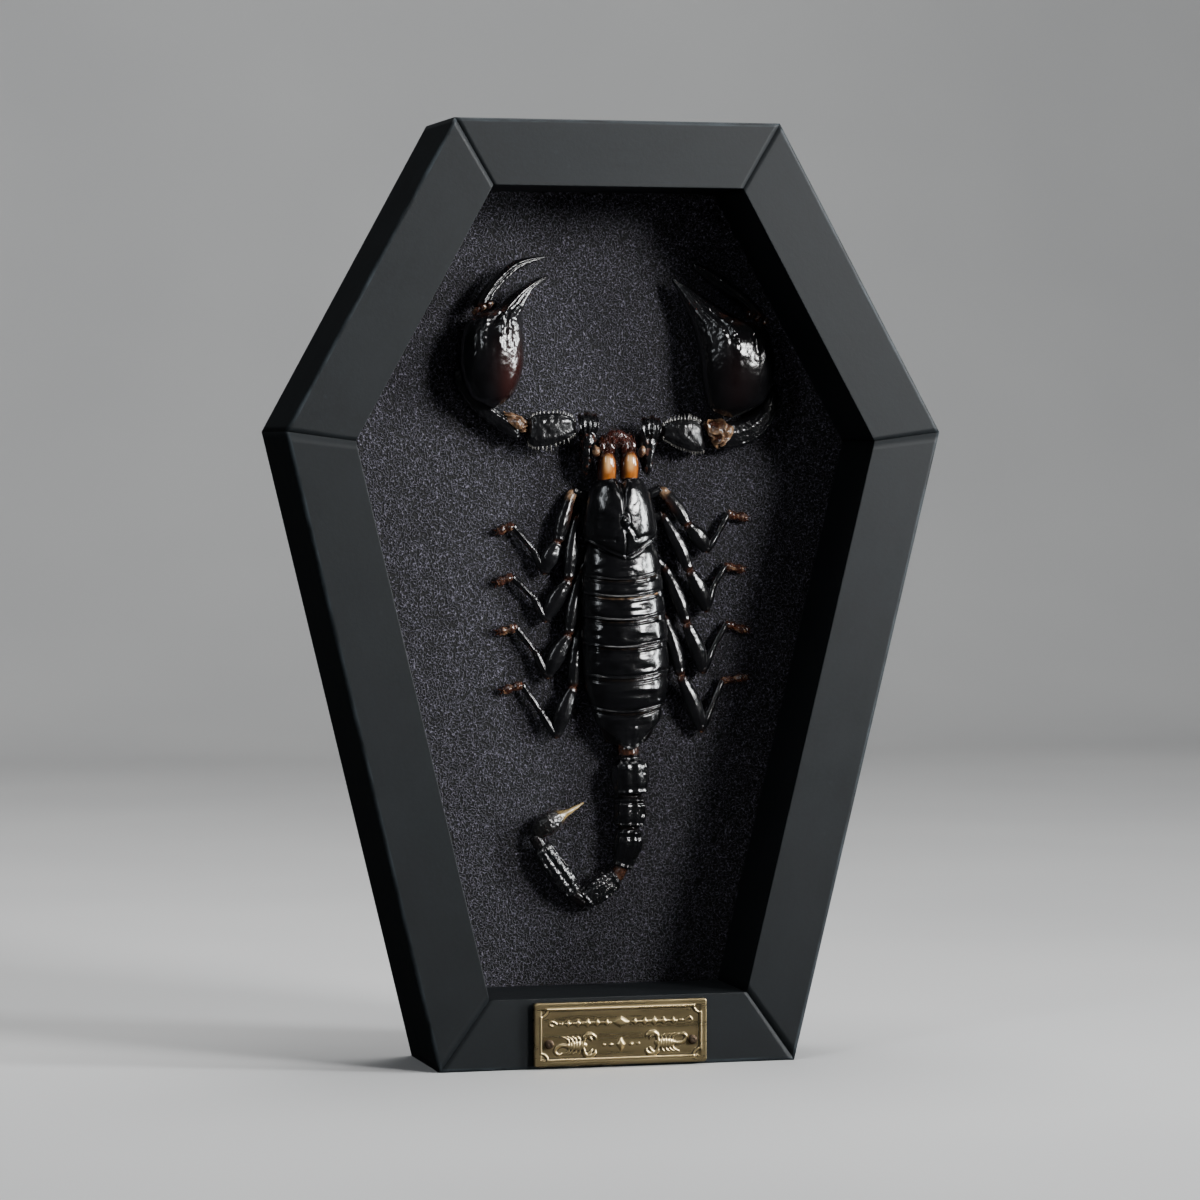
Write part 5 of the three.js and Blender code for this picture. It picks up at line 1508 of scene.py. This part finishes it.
def base_shape(arm):
    """The arm's hip, a small tan lobe beside the jaws, and a fan of leaf-shaped plates with ribs."""
    stations = np.asarray(arm["base"], float)
    side = arm["outer"]
    hip, _, _ = swollen(stations[:4], 90, 70, (0.2, 0.25), 0.85)
    hip = displaced(hip, 0.3 * lumps(hip, 1.1, 3) + 0.12 * grains(hip, 0.5, 81) - 0.4)
    shapes = [skin(hip, grain=0.1, warm=0.5 * ramp(lumps(hip, 0.6, 9), 0.3, 0.6))]
    middle = (stations[3, :2] + stations[3, 2:4]) / 2
    root = np.array([middle[0] - side * 0.3, stations[2, 1] - 0.8])
    for across, up, width, top in BASE_LEAVES:
        end = middle + (side * across, up)
        path = [
            (*root, top - 2.6),
            (*(root * 0.62 + end * 0.38), top - 0.9),
            (*(root * 0.3 + end * 0.7), top - 0.9),
            (*end, top - 2.2),
        ]
        widths = [0.5, width, width * 0.95, 0.3]
        leaf, t, angle = tube(path, widths, [0.5, 0.5, 0.45, 0.22], 80, 60, (0.15, 0.12))
        from_middle = np.abs(np.cos(angle))
        ribs = 0.22 * hill(np.cos(angle), 0.0, 0.12) + 0.26 * hill(from_middle, 0.86, 0.1)
        furrows = 0.12 * hill(from_middle, 0.45, 0.16)
        amount = (ribs - furrows) * ramp(np.sin(angle), 0, 0.3)
        leaf = displaced(leaf, amount + 0.08 * lumps(leaf, 0.5, 5))
        shapes.append(skin(leaf, grain=0.3, warm=0.15 * ramp(t, 0.8, 1.0)))
    x = stations[1, 2] + 0.2 if side > 0 else stations[1, 0] - 0.2
    path = [(x, 129.2, 5.6), (x, 130.4, 6.5), (x - side * 0.3, 131.6, 6.0)]
    lobe, _, _ = tube(path, [0.5, 0.8, 0.4], [0.6, 0.8, 0.5], 40, 32, (0.3, 0.3))
    lobe = displaced(lobe, 0.12 * lumps(lobe, 0.5, 6))
    shapes.append(skin(lobe, pale=0.75 * ramp(lumps(lobe, 0.7, 8), -0.4, 0.3), warm=0.5))
    return together(shapes)


# Legs: where each joint lies, from the hip under the body to the tip of the foot

LEG_HEIGHTS = [1.3, 1.5, 3.1, 2.6, 2.1, 1.3, 0.9]
LEGS = {
    "right": [
        [
            (9.2, 119.4), (15.0, 122.2), (20.5, 114.4), (25.0, 108.7),
            (27.5, 112.2), (30.2, 116.7), (34.3, 115.8),
        ],
        [
            (9.2, 114.6), (15.2, 116.6), (21.0, 104.4), (25.0, 95.7),
            (26.6, 100.9), (29.6, 105.4), (33.6, 104.7),
        ],
        [
            (10.0, 109.6), (15.8, 105.2), (20.3, 93.1), (24.2, 82.4),
            (26.6, 87.6), (29.8, 92.8), (34.6, 91.4),
        ],
        [
            (10.4, 104.2), (15.6, 94.6), (19.0, 81.8), (23.9, 69.6),
            (26.4, 75.0), (28.9, 80.4), (34.4, 81.0),
        ],
    ],
    "left": [
        [
            (1.2, 119.4), (-4.6, 121.8), (-8.3, 110.8), (-11.2, 104.2),
            (-13.4, 108.9), (-17.9, 114.3), (-21.0, 113.2),
        ],
        [
            (1.0, 114.6), (-3.7, 116.2), (-5.9, 102.6), (-11.0, 93.9),
            (-13.4, 98.8), (-18.1, 103.4), (-21.2, 102.1),
        ],
        [
            (0.8, 109.6), (-2.7, 104.6), (-5.9, 90.8), (-10.6, 81.6),
            (-13.0, 87.0), (-17.2, 92.4), (-20.9, 91.6),
        ],
        [
            (1.2, 104.2), (-2.9, 93.6), (-4.9, 79.6), (-8.6, 68.8),
            (-12.1, 74.5), (-15.9, 80.1), (-20.0, 78.9),
        ],
    ],
}

# Hip, thigh, knee piece, shin, foot and toe: half widths along each, its depth, how brown each end is
LEG_PARTS = [
    ([0.9, 1.15, 1.1, 0.8], 0.85, (0.1, 0.35)),
    ([0.75, 1.2, 1.5, 1.6, 1.35, 0.75], 0.85, (0.35, 0.75)),
    ([0.75, 1.4, 1.85, 1.85, 1.4, 0.55], 0.72, (0.75, 0.25)),
    ([0.5, 0.85, 0.95, 0.8, 0.6], 0.95, (0.2, 0.1)),
    ([0.5, 0.72, 0.75, 0.6], 1.0, (0.1, 0.5)),
    ([0.6, 0.95, 0.7, 1.0, 0.5], 1.0, (0.5, 0.4)),
]
KNEES_BROWN = (0.3, 0.85, 0.3, 0.3, 0.8)
BROAD_PARTS = (1, 2)
TOE = 5


def leg_part(joints, k, number, side):
    """Part k of a leg: a tapering tube with a ridge along its top and a knuckle at each end."""
    halves, depth, (first, last) = LEG_PARTS[k]
    a, b = joints[k], joints[k + 1]
    step = unit(b - a)
    broad = k in BROAD_PARTS
    bow = 0.35 * side * np.array([-step[1], step[0], 0]) if broad else 0
    path = [a - step * 0.3, a * 0.65 + b * 0.35 + bow, a * 0.3 + b * 0.7 + bow, b + step * 0.3]
    widths = np.array(halves)
    points, t, angle = tube(path, widths, widths * depth, 90 if broad else 60, 40, (0.06, 0.07), 0.85)
    ridge = 0.12 * (hill(np.cos(angle), 0.0, 0.16) * (np.sin(angle) > 0)) * ramp(t, 0.05, 0.2)
    ends = 0.12 * hill(t, 0.09, 0.035) + 0.18 * hill(t, 0.92, 0.035)
    amount = ridge * ramp(t, 0.98, 0.85) + ends + 0.05 * lumps(points, 0.8, number + k)
    amount = amount + 0.05 * grains(points, 0.4, number + 90) * np.abs(np.cos(angle))
    if k == TOE:
        amount = amount + 0.22 * lumps(points, 0.8, number + 30)
    points = off_fabric(displaced(points, amount * rounded_ends(t, 0.05, 0.05)))
    warm = first * ramp(t, 0.12, 0.0) + last * ramp(t, 0.9, 1.0)
    pale = 0.2 * ramp(t, 0.05, 0.0)
    if k == TOE:
        warm = warm + 0.5
        pale = 0.4 * ramp(lumps(points, 0.5, 8), 0.25, 0.5)
    if k == 1 and number == 1:
        warm = warm + 0.7 * hill(np.cos(angle), -side * 0.7, 0.4) * ramp(t, 0.75, 0.1)
        pale = 0.95 * ramp(t, 0.24, 0.1)
    warm = np.clip(warm * (0.75 + 0.5 * lumps(points, 0.7, 4)), 0, 1)
    return skin(points, warm=warm, pale=pale, grain=0.4 if broad else 0.2)


def knee_shape(joints, k):
    """The soft joint at the end of part k of a leg."""
    end = joints[k + 1]
    step = unit(end - joints[k])
    path = [end - step * 0.45, end, end + step * 0.45 + (0, 0, 0.02)]
    sizes = [0.3, 0.5, 0.3]
    points, _, _ = tube(path, sizes, sizes, 16, 16, (0.4, 0.4))
    points = displaced(points, 0.1 * lumps(points, 0.3, 3))
    return skin(points, warm=KNEES_BROWN[k], pale=0.15 if k < 3 else 0.0)


def claw_shape(joints, turn):
    """One of the two claws at a leg's tip, turned out from the toe's direction by an angle."""
    tip = joints[-1]
    ahead = unit(tip - joints[-2])
    x = ahead[0] * np.cos(turn) - ahead[1] * np.sin(turn)
    y = ahead[0] * np.sin(turn) + ahead[1] * np.cos(turn)
    spread = np.array([x, y, 0])
    path = [tip, tip + spread * 0.7 + (0, 0, 0.25), tip + spread * 1.3 + ahead * 0.1 - (0, 0, 0.35)]
    sizes = [0.2, 0.16, 0.04]
    points, _, _ = tube(path, sizes, sizes, 20, 12, (0.1, 0.1))
    return skin(off_fabric(points), warm=0.7)


def leg_shape(places, number, side):
    """One leg: six tapering parts with soft joints between them and a pair of claws, and its bristles."""
    joints = np.array([(x, y, h) for (x, y), h in zip(places, LEG_HEIGHTS)])
    shapes = []
    for k in range(len(LEG_PARTS)):
        shapes.append(leg_part(joints, k, number, side))
        if k < TOE:
            shapes.append(knee_shape(joints, k))
    shapes += [claw_shape(joints, turn) for turn in (-0.6, 0.6)]
    return together(shapes), leg_bristles(joints, number)


def leg_bristles(joints, number):
    """Short stiff bristles on the shin, foot and toe, standing out to both sides."""
    roots = []
    ahead = []
    for k, count in ((2, 8), (3, 12), (4, 18), (5, 22)):
        cells = np.stack([np.arange(count), np.full(count, k), np.full(count, number)], -1)
        random = scatter(cells, 5)
        step = unit(joints[k + 1] - joints[k])
        across = np.array([-step[1], step[0], 0])
        angle = 2 * np.pi * random[:, 1]
        out = across * np.cos(angle)[:, None] + (0, 0, 1) * np.abs(np.sin(angle))[:, None]
        line = joints[k] + (joints[k + 1] - joints[k]) * (0.1 + 0.85 * random[:, :1])
        roots.append(line + out * 0.42)
        ahead.append(out + step * (0.3 + 0.6 * random[:, 2:]))
    return hairs(np.concatenate(roots), np.concatenate(ahead), 0.75, 0.03, 0.1, number)


# Tail: each segment's path and half widths, and how deep it is

TAIL = [
    ([(7.3, 65.2, 3.4), (7.4, 62.0, 3.6), (7.6, 56.1, 3.5)], [2.0, 2.4, 3.7, 4.0, 3.9, 3.3], 0.8),
    ([(7.6, 55.75, 3.4), (7.4, 49.35, 3.3)], [2.9, 3.4, 3.4, 3.4, 2.9], 0.85),
    ([(7.3, 49.0, 3.2), (7.0, 44.4, 3.1), (5.7, 40.2, 3.0)], [2.6, 3.0, 2.8, 2.4, 2.0], 0.9),
    ([(4.8, 38.5, 2.8), (1.2, 36.2, 2.8), (-2.6, 33.3, 2.8)], [1.7, 2.5, 2.7, 2.5, 1.8], 0.9),
    ([(-4.6, 34.8, 2.7), (-7.6, 38.9, 2.7), (-12.3, 45.6, 2.7)], [1.5, 2.2, 2.5, 2.5, 2.3, 1.7], 0.9),
]

# The angle of each keel round the tail, 0 at one side and a quarter turn at the back, and its height
KEELS = ((0.72, 0.5), (2.42, 0.45), (0.12, 0.5), (3.02, 0.4), (-0.8, 0.2), (-2.34, 0.2))

# The soft joints of the tail: from where to where, half width, how brown and how pale
TAIL_JOINTS = [
    ((7.2, 66.8, 3.3), (7.3, 65.2, 3.4), 2.2, 0.4, 0.05),
    ((7.6, 56.1, 3.5), (7.6, 55.75, 3.4), 2.9 * 0.86, 0.02, 0.0),
    ((7.4, 49.35, 3.3), (7.3, 49.0, 3.2), 2.6 * 0.86, 0.02, 0.0),
    ((5.7, 40.2, 3.0), (4.8, 38.5, 2.8), 1.7 * 0.86, 0.4, 0.06),
    ((-2.6, 33.3, 2.8), (-4.6, 34.8, 2.7), 1.5 * 1.02, 0.02, 0.0),
    ((-12.3, 45.6, 2.7), (-13.2, 47.1, 2.6), 1.35, 0.02, 0.0),
]


def tail_joint(start, end, size, warm, pale):
    """A soft joint: a short pleated tube from one segment of the tail into the next."""
    a = np.array(start)
    b = np.array(end)
    step = unit(b - a)
    sizes = [size] * 3
    points, _, angle = tube([a - step * 0.8, (a + b) / 2, b + step * 0.8], sizes, sizes, 40, 48, (0.2, 0.2))
    points = displaced(points, 0.06 * np.sin(angle * 11) + 0.08 * lumps(points, 0.5, 2))
    return skin(points, warm=warm, pale=pale)


def around(angle, place):
    """How far each angle is from a place round a circle, from minus to plus half a turn."""
    return np.angle(np.exp(1j * (angle - place)))


def tail_shape(k):
    """Tail segment k: uneven keels, a furrow along the back, flared collars at both ends."""
    path, halves, flat = TAIL[k]
    halves = np.array(halves)
    points, t, angle = tube(path, halves, halves * flat, 130, 110, (0.04, 0.05), 0.85)
    beads = 0.6 + 0.5 * lumps(points, 0.55 if k > 2 else 0.8, 60 + k)
    run = ramp(t, 0.04, 0.14) * ramp(t, 0.99, 0.9)
    keels = 0
    for place, height in KEELS:
        keels = keels + height * hill(around(angle, place), 0.0, 0.13)
    furrow = -0.25 * hill(around(angle, np.pi / 2), 0, 0.17)
    collars = 0.2 * hill(t, 0.1, 0.04) - 0.2 * hill(t, 0.2, 0.05) + 0.3 * hill(t, 0.93, 0.035)
    amount = (keels * beads + furrow) * run + collars
    bead = 0.2 if k > 2 else 0.06
    amount = amount + bead * grains(points, 0.55, 100 + k) + 0.06 * lumps(points, 0.9, k)
    points = off_fabric(displaced(points, (amount - 0.1) * rounded_ends(t, 0.04, 0.04)))
    rough = (0.1, 0.1, 0.2, 0.45, 0.5)[k]
    warm = 0.5 * ramp(t, 0.05, 0.0) * (k == 0)
    joints = TAIL_JOINTS[:2] if k == 0 else TAIL_JOINTS[k + 1 : k + 2]
    return together([skin(points, grain=rough, warm=warm), *[tail_joint(*joint) for joint in joints]])


STING_PATH = [(-13.2, 47.1, 2.6), (-11.6, 49.3, 2.7), (-8.6, 51.3, 2.8), (-5.4, 52.9, 2.6), (-2.2, 54.5, 1.6)]
STING_HALVES = [0.9, 1.7, 2.3, 2.4, 1.8, 0.95, 0.6, 0.4, 0.15]
STING_HAIRS = 34
HAND_HAIRS = 46


def sting_shape():
    """The telson: a granular bulb with a shallow groove, then a smooth curved horn with a sharp point.

    With it, the bristles that stand out from both."""
    halves = np.array(STING_HALVES)
    points, t, angle = tube(STING_PATH, halves, halves * 0.96, 170, 90, (0.06, 0.03))
    bulb = ramp(t, 0.64, 0.5)
    amount = 0.13 * grains(points, 0.5, 111) * bulb + 0.05 * lumps(points, 0.8, 4)
    amount = amount + 0.12 * bulb * (hill(np.cos(angle), 0.45, 0.1) + hill(np.cos(angle), -0.45, 0.1))
    points = displaced(points, amount * rounded_ends(t, 0.08, 0.1))
    body = skin(points, horn=ramp(t, 0.5, 0.66), grain=0.8 * bulb)
    random = dice(STING_HAIRS, 44)
    s = 0.12 + 0.55 * random[:, 0]
    turn = 2 * np.pi * random[:, 1]
    out = np.stack([-0.45 * np.cos(turn), 0.9 * np.cos(turn), np.abs(np.sin(turn))], -1)
    roots = spline(STING_PATH, s) + out * spline(halves, s)[:, None] * 0.95
    return body, hairs(roots, out + (0.9, 0.5, 0), 0.8 + random[:, 2] * 0.6, 0.028, 0.1, 6)


def hand_bristles(arm, seed):
    """A few fine bristles along the fingers and the outer side of the hand."""
    random = dice(HAND_HAIRS, seed)
    shapes = []
    for key, share in (("hand", 0.45 + 0.5 * random[:, 0]), ("finger", 0.1 + 0.8 * random[:, 0])):
        s = spline(arm[key], share)
        c = 2 * random[:, 1] - 1
        middle = (s[:, :2] + s[:, 2:4]) / 2
        half = (s[:, :2] - s[:, 2:4]) / 2
        xy = middle + half * c[:, None]
        z = (s[:, 4] + s[:, 5]) / 2 + (s[:, 5] - s[:, 4]) / 2 * np.sqrt(1 - c**2)
        out = np.column_stack([half * c[:, None] * 0.3, np.ones(HAND_HAIRS)])
        out[:, 1] += 0.5
        shapes.append(hairs(np.column_stack([xy, z]), out, 0.5 + 0.5 * random[:, 2], 0.024, 0.1, seed))
    return together(shapes)


# The add-on: settings, operators and panel


class ScorpionBoxSettings(bpy.types.PropertyGroup):
    """Colours and sizes that a user would change."""

    paint: bpy.props.FloatVectorProperty(
        name="Paint", description="Colour of the painted rails", subtype="COLOR", size=3,
        default=(0.0050, 0.0065, 0.0076), min=0, max=1,
    )
    fabric: bpy.props.FloatVectorProperty(
        name="Fabric", description="Colour of the crepe lining", subtype="COLOR", size=3,
        default=(0.0095, 0.0089, 0.0121), min=0, max=1,
    )
    shell: bpy.props.FloatVectorProperty(
        name="Shell", description="Colour of the black shell", subtype="COLOR", size=3,
        default=(0.0026, 0.0026, 0.003), min=0, max=1,
    )
    joint: bpy.props.FloatVectorProperty(
        name="Joint", description="Colour of the thin shell at joints and feet", subtype="COLOR", size=3,
        default=(0.11, 0.032, 0.014), min=0, max=1,
    )
    membrane: bpy.props.FloatVectorProperty(
        name="Membrane", description="Colour of the bare membrane", subtype="COLOR", size=3,
        default=(0.31, 0.18, 0.095), min=0, max=1,
    )
    amber: bpy.props.FloatVectorProperty(
        name="Jaws", description="Colour of the jaws", subtype="COLOR", size=3,
        default=(0.33, 0.10, 0.014), min=0, max=1,
    )
    horn: bpy.props.FloatVectorProperty(
        name="Sting", description="Colour of the sting's horn", subtype="COLOR", size=3,
        default=(0.36, 0.25, 0.10), min=0, max=1,
    )
    brass: bpy.props.FloatVectorProperty(
        name="Brass", description="Colour of the plaque", subtype="COLOR", size=3,
        default=(0.48, 0.37, 0.19), min=0, max=1,
    )
    fabric_grain: bpy.props.FloatProperty(
        name="Fabric grain", description="Width of the crepe's pebbles in millimetres",
        default=0.75, min=0.2, max=3,
    )
    fringe_hairs: bpy.props.IntProperty(
        name="Jaw bristles", description="How many bristles stand in front of the jaws",
        default=300, min=0, max=5000,
    )


class MakeRails(bpy.types.Operator):
    """Makes the six mitred rails"""

    bl_idname = "scorpion_box.make_rails"
    bl_label = "Rails"

    def execute(self, context):
        sizes = context.scene.scorpion_box
        for i, rail in enumerate(RAILS):
            along, _ = side_axes(i)
            turn = (0, np.arctan2(along[1], along[0]), 0)
            finish = paint_finish("painted_" + rail, turn, sizes)
            add_piece(rail + "_rail", rail_shape(i), finish, "frame_wood", "rail_" + rail)
        return {"FINISHED"}


class MakeBack(bpy.types.Operator):
    """Makes the fabric lining, the board's finish and the sprung tabs"""

    bl_idname = "scorpion_box.make_back"
    bl_label = "Lining, board and tabs"

    def execute(self, context):
        sizes = context.scene.scorpion_box
        shape, area, width, length = lining_shape()
        lining = add_piece("crepe_lining", shape, fabric_finish(sizes), "lining_fabric", "fabric_lining")
        width * MM
        length * MM
        area * MM * MM
        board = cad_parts["back_board"]
        finish = board_finish()
        for held in board.material_slots:
            held.material = finish
        steel = steel_finish()
        for i, rail in enumerate(RAILS):
            for k in range(TABS[i]):
                ending = rail + (f"_{k + 1}" if TABS[i] > 1 else "")
                add_piece("spring_" + ending, tab_shape(i, k), steel, "spring_steel", "tab_" + ending)
        return {"FINISHED"}


class MakePlaque(bpy.types.Operator):
    """Makes the brass plaque and its two rivets"""

    bl_idname = "scorpion_box.make_plaque"
    bl_label = "Plaque"

    def execute(self, context):
        sizes = context.scene.scorpion_box
        add_piece("brass_plaque", plaque_shape(), brass_finish(sizes), "plaque_brass", "plaque")
        bronze = bronze_finish()
        for side, name in ((-1, "left"), (1, "right")):
            add_piece("bronze_rivet_" + name, rivet_shape(side), bronze, "rivet_bronze", "rivet_" + name)
        return {"FINISHED"}


class MakeTrunk(bpy.types.Operator):
    """Makes the head shield, the back plates and the jaws with their bristles"""

    bl_idname = "scorpion_box.make_trunk"
    bl_label = "Trunk and jaws"

    def execute(self, context):
        sizes = context.scene.scorpion_box
        shell = shell_finish("trunk_shell", sizes)
        add_piece("head_shield", on_trunk(shield_shape()), shell, "black_shell", "carapace")
        plates = together([*[plate_shape(k) for k in range(len(PLATE_ENDS))], belly_shape()])
        add_piece("back_plates", on_trunk(plates), shell, "black_shell", "abdomen")
        amber = jaw_finish(sizes)
        for side, name in ((-1, "left"), (1, "right")):
            shape = on_trunk(jaw_shape(side))
            add_piece("amber_jaw_" + name, shape, amber, "amber_shell", "jaw_" + name)
        flesh, mat = fringe(sizes.fringe_hairs)
        add_piece("mouth_flesh", on_trunk(flesh), shell, "amber_shell")
        add_piece("mouth_bristles", on_trunk(mat), hair_finish(), "amber_shell")
        return {"FINISHED"}


class MakeArms(bpy.types.Operator):
    """Makes both pincer arms"""

    bl_idname = "scorpion_box.make_arms"
    bl_label = "Pincer arms"

    def execute(self, context):
        sizes = context.scene.scorpion_box
        shell = shell_finish("arm_shell", sizes, 0.13, 1.0)
        leather = shell_finish("femur_shell", sizes, 0.19, 1.0)
        bristle = hair_finish()
        for side in ("left", "right"):
            arm = ARMS[side]
            made = {
                "base": (base_shape(arm), leather),
                "femur": (femur_shape(arm), leather),
                "patella": (patella_shape(arm), shell),
                "hand": (hand_shape(arm), shell),
                "finger": (finger_shape(arm), shell),
            }
            for part, (shape, finish) in made.items():
                name = f"pincer_{part}_{side}"
                add_piece(name, on_specimen(shape), finish, "black_shell", f"arm_{part}_{side}")
            add_piece("elbow_membrane_" + side, on_specimen(membrane_shape(arm)), shell, "black_shell")
            mat = on_specimen(hand_bristles(arm, 7 if side == "left" else 8))
            add_piece("hand_bristles_" + side, mat, bristle, "black_shell")
        return {"FINISHED"}


class MakeLegs(bpy.types.Operator):
    """Makes the eight legs and their bristles"""

    bl_idname = "scorpion_box.make_legs"
    bl_label = "Legs"

    def execute(self, context):
        sizes = context.scene.scorpion_box
        shell = shell_finish("leg_shell", sizes, 0.13, 1.1)
        mats = []
        for side, sign in (("left", -1), ("right", 1)):
            for k, places in enumerate(LEGS[side]):
                shape, mat = leg_shape(places, k + 1, sign)
                name = f"walking_leg_{k + 1}_{side}"
                add_piece(name, on_specimen(shape), shell, "black_shell", f"leg_{k + 1}_{side}")
                mats.append(mat)
        add_piece("leg_bristles", on_specimen(together(mats)), hair_finish(), "black_shell")
        return {"FINISHED"}


class MakeTail(bpy.types.Operator):
    """Makes the five tail segments and the sting"""

    bl_idname = "scorpion_box.make_tail"
    bl_label = "Tail and sting"

    def execute(self, context):
        sizes = context.scene.scorpion_box
        shell = shell_finish("tail_shell", sizes, 0.14, 1.1)
        for k in range(len(TAIL)):
            shape = on_specimen(tail_shape(k))
            add_piece(f"tail_ring_{k + 1}", shape, shell, "black_shell", f"tail_segment_{k + 1}")
        body, mat = sting_shape()
        add_piece("telson", on_specimen(body), sting_finish(sizes), "horn_shell", "sting")
        add_piece("telson_bristles", on_specimen(mat), hair_finish(), "horn_shell")
        return {"FINISHED"}


# Stage: where the camera stands, and the lights round it

CAMERA_AT = (-0.2413, -0.9096, 0.1314)
CAMERA_YAW = np.radians(14.81)
CAMERA_PITCH = np.radians(-2.0)
CAMERA_LENS = 132.0
SENSOR = 36.0


def area_light(name, place, aim, size, size_y, power, tint=(1, 1, 1), spread=np.pi):
    """A soft rectangular light that faces its aim."""
    data = bpy.data.lights.new(name, "AREA")
    data.shape = "RECTANGLE"
    data.size = size
    data.size_y = size_y
    data.energy = power
    data.color = tint
    data.spread = spread
    lamp = bpy.data.objects.new(name, data)
    lamp.location = place
    lamp.rotation_euler = (Vector(aim) - Vector(place)).to_track_quat("-Z", "Y").to_euler()
    bpy.context.scene.collection.objects.link(lamp)


def make_sweep():
    """A pale floor that curves up into a backdrop."""
    f = Finish("pale_floor")
    cloud = f.noise(f.place(), 6.0, 2.0, 0.5)
    tone = f.mix(f.between(cloud, 0.3, 0.7), (0.60, 0.60, 0.60, 1.0), (0.65, 0.65, 0.645, 1.0))
    finish = f.done(Base_Color=tone, Roughness=0.7, Specular_IOR_Level=0.2)
    turn = np.linspace(0, 1, 60) * np.pi / 2
    floor_y = np.concatenate([[-2.5], 0.9 + 0.5 * np.sin(turn), [1.4]])
    floor_z = np.concatenate([[0.0], 0.5 * (1 - np.cos(turn)), [3.0]])
    x = np.array([-3.0, 3.0])
    grid = np.stack(np.broadcast_arrays(x[None], floor_y[:, None], floor_z[:, None]), -1)
    k = np.arange(len(floor_y) - 1) * 2
    faces = np.stack([k, k + 1, k + 3, k + 2], -1)
    mesh = bpy.data.meshes.new("studio_sweep")
    mesh.from_pydata(grid.reshape(-1, 3).tolist(), [], faces.tolist())
    mesh.polygons.foreach_set("use_smooth", np.ones(len(faces), dtype=bool))
    mesh.materials.append(finish)
    sweep = bpy.data.objects.new("studio_sweep", mesh)
    bpy.context.scene.collection.objects.link(sweep)
    sweep.visible_glossy = False


def make_lights():
    """Four soft lights and a faint sky."""
    area_light("key", (0.58, -0.7, 0.44), (0.02, 0, 0.22), 0.24, 0.34, 1.05, spread=np.radians(40))
    area_light("side", (0.85, -0.42, 0.24), (0, 0, 0.11), 0.12, 0.5, 13.0, (0.95, 0.98, 1.0))
    area_light("rim", (-0.5, -0.5, 0.5), (0, 0, 0.12), 0.06, 0.4, 1.2, (0.9, 0.95, 1.0))
    area_light("top", (0.1, 0.1, 1.1), (0, 0.1, 0.0), 0.8, 0.5, 10.0)
    world = bpy.data.worlds.new("studio")
    world.use_nodes = True
    bpy.context.scene.world = world
    back = world.node_tree.nodes["Background"]
    back.inputs["Color"].default_value = (0.8, 0.84, 0.9, 1.0)
    back.inputs["Strength"].default_value = 0.02


def make_camera():
    """The camera where the photo's was, with its lens."""
    data = bpy.data.cameras.new("camera")
    data.lens = CAMERA_LENS
    data.sensor_width = SENSOR
    data.dof.use_dof = False
    data.clip_start = 0.01
    camera = bpy.data.objects.new("camera", data)
    camera.location = CAMERA_AT
    x = np.sin(CAMERA_YAW) * np.cos(CAMERA_PITCH)
    y = np.cos(CAMERA_YAW) * np.cos(CAMERA_PITCH)
    camera.rotation_euler = Vector((x, y, np.sin(CAMERA_PITCH))).to_track_quat("-Z", "Y").to_euler()
    bpy.context.scene.collection.objects.link(camera)
    bpy.context.scene.camera = camera


class MakeStage(bpy.types.Operator):
    """Makes the pale floor and backdrop, the studio lights and the camera"""

    bl_idname = "scorpion_box.make_stage"
    bl_label = "Stage"

    def execute(self, context):
        make_sweep()
        make_lights()
        make_camera()
        return {"FINISHED"}


MAKERS = (MakeRails, MakeBack, MakePlaque, MakeTrunk, MakeArms, MakeLegs, MakeTail, MakeStage)


class ScorpionBoxPanel(bpy.types.Panel):
    """Lists the settings and a button for each group of pieces"""

    bl_idname = "VIEW3D_PT_scorpion_box"
    bl_label = "Scorpion box"
    bl_space_type = "VIEW_3D"
    bl_region_type = "UI"
    bl_category = "Scorpion box"

    def draw(self, context):
        settings = context.scene.scorpion_box
        for key in ScorpionBoxSettings.__annotations__:
            self.layout.prop(settings, key)
        for maker in MAKERS:
            self.layout.operator(maker.bl_idname)


CLASSES = (ScorpionBoxSettings, *MAKERS, ScorpionBoxPanel)


def register():
    """Adds the settings, the operators and the panel."""
    for item in CLASSES:
        bpy.utils.register_class(item)
    bpy.types.Scene.scorpion_box = bpy.props.PointerProperty(type=ScorpionBoxSettings)


def unregister():
    """Takes them away again, the last first."""
    del bpy.types.Scene.scorpion_box
    for item in reversed(CLASSES):
        bpy.utils.unregister_class(item)


def main():
    """Builds the whole scene."""
    register()
    bpy.ops.scorpion_box.make_rails()
    bpy.ops.scorpion_box.make_back()
    bpy.ops.scorpion_box.make_plaque()
    bpy.ops.scorpion_box.make_trunk()
    bpy.ops.scorpion_box.make_arms()
    bpy.ops.scorpion_box.make_legs()
    bpy.ops.scorpion_box.make_tail()
    bpy.ops.scorpion_box.make_stage()


if __name__ == "__main__":
    main()
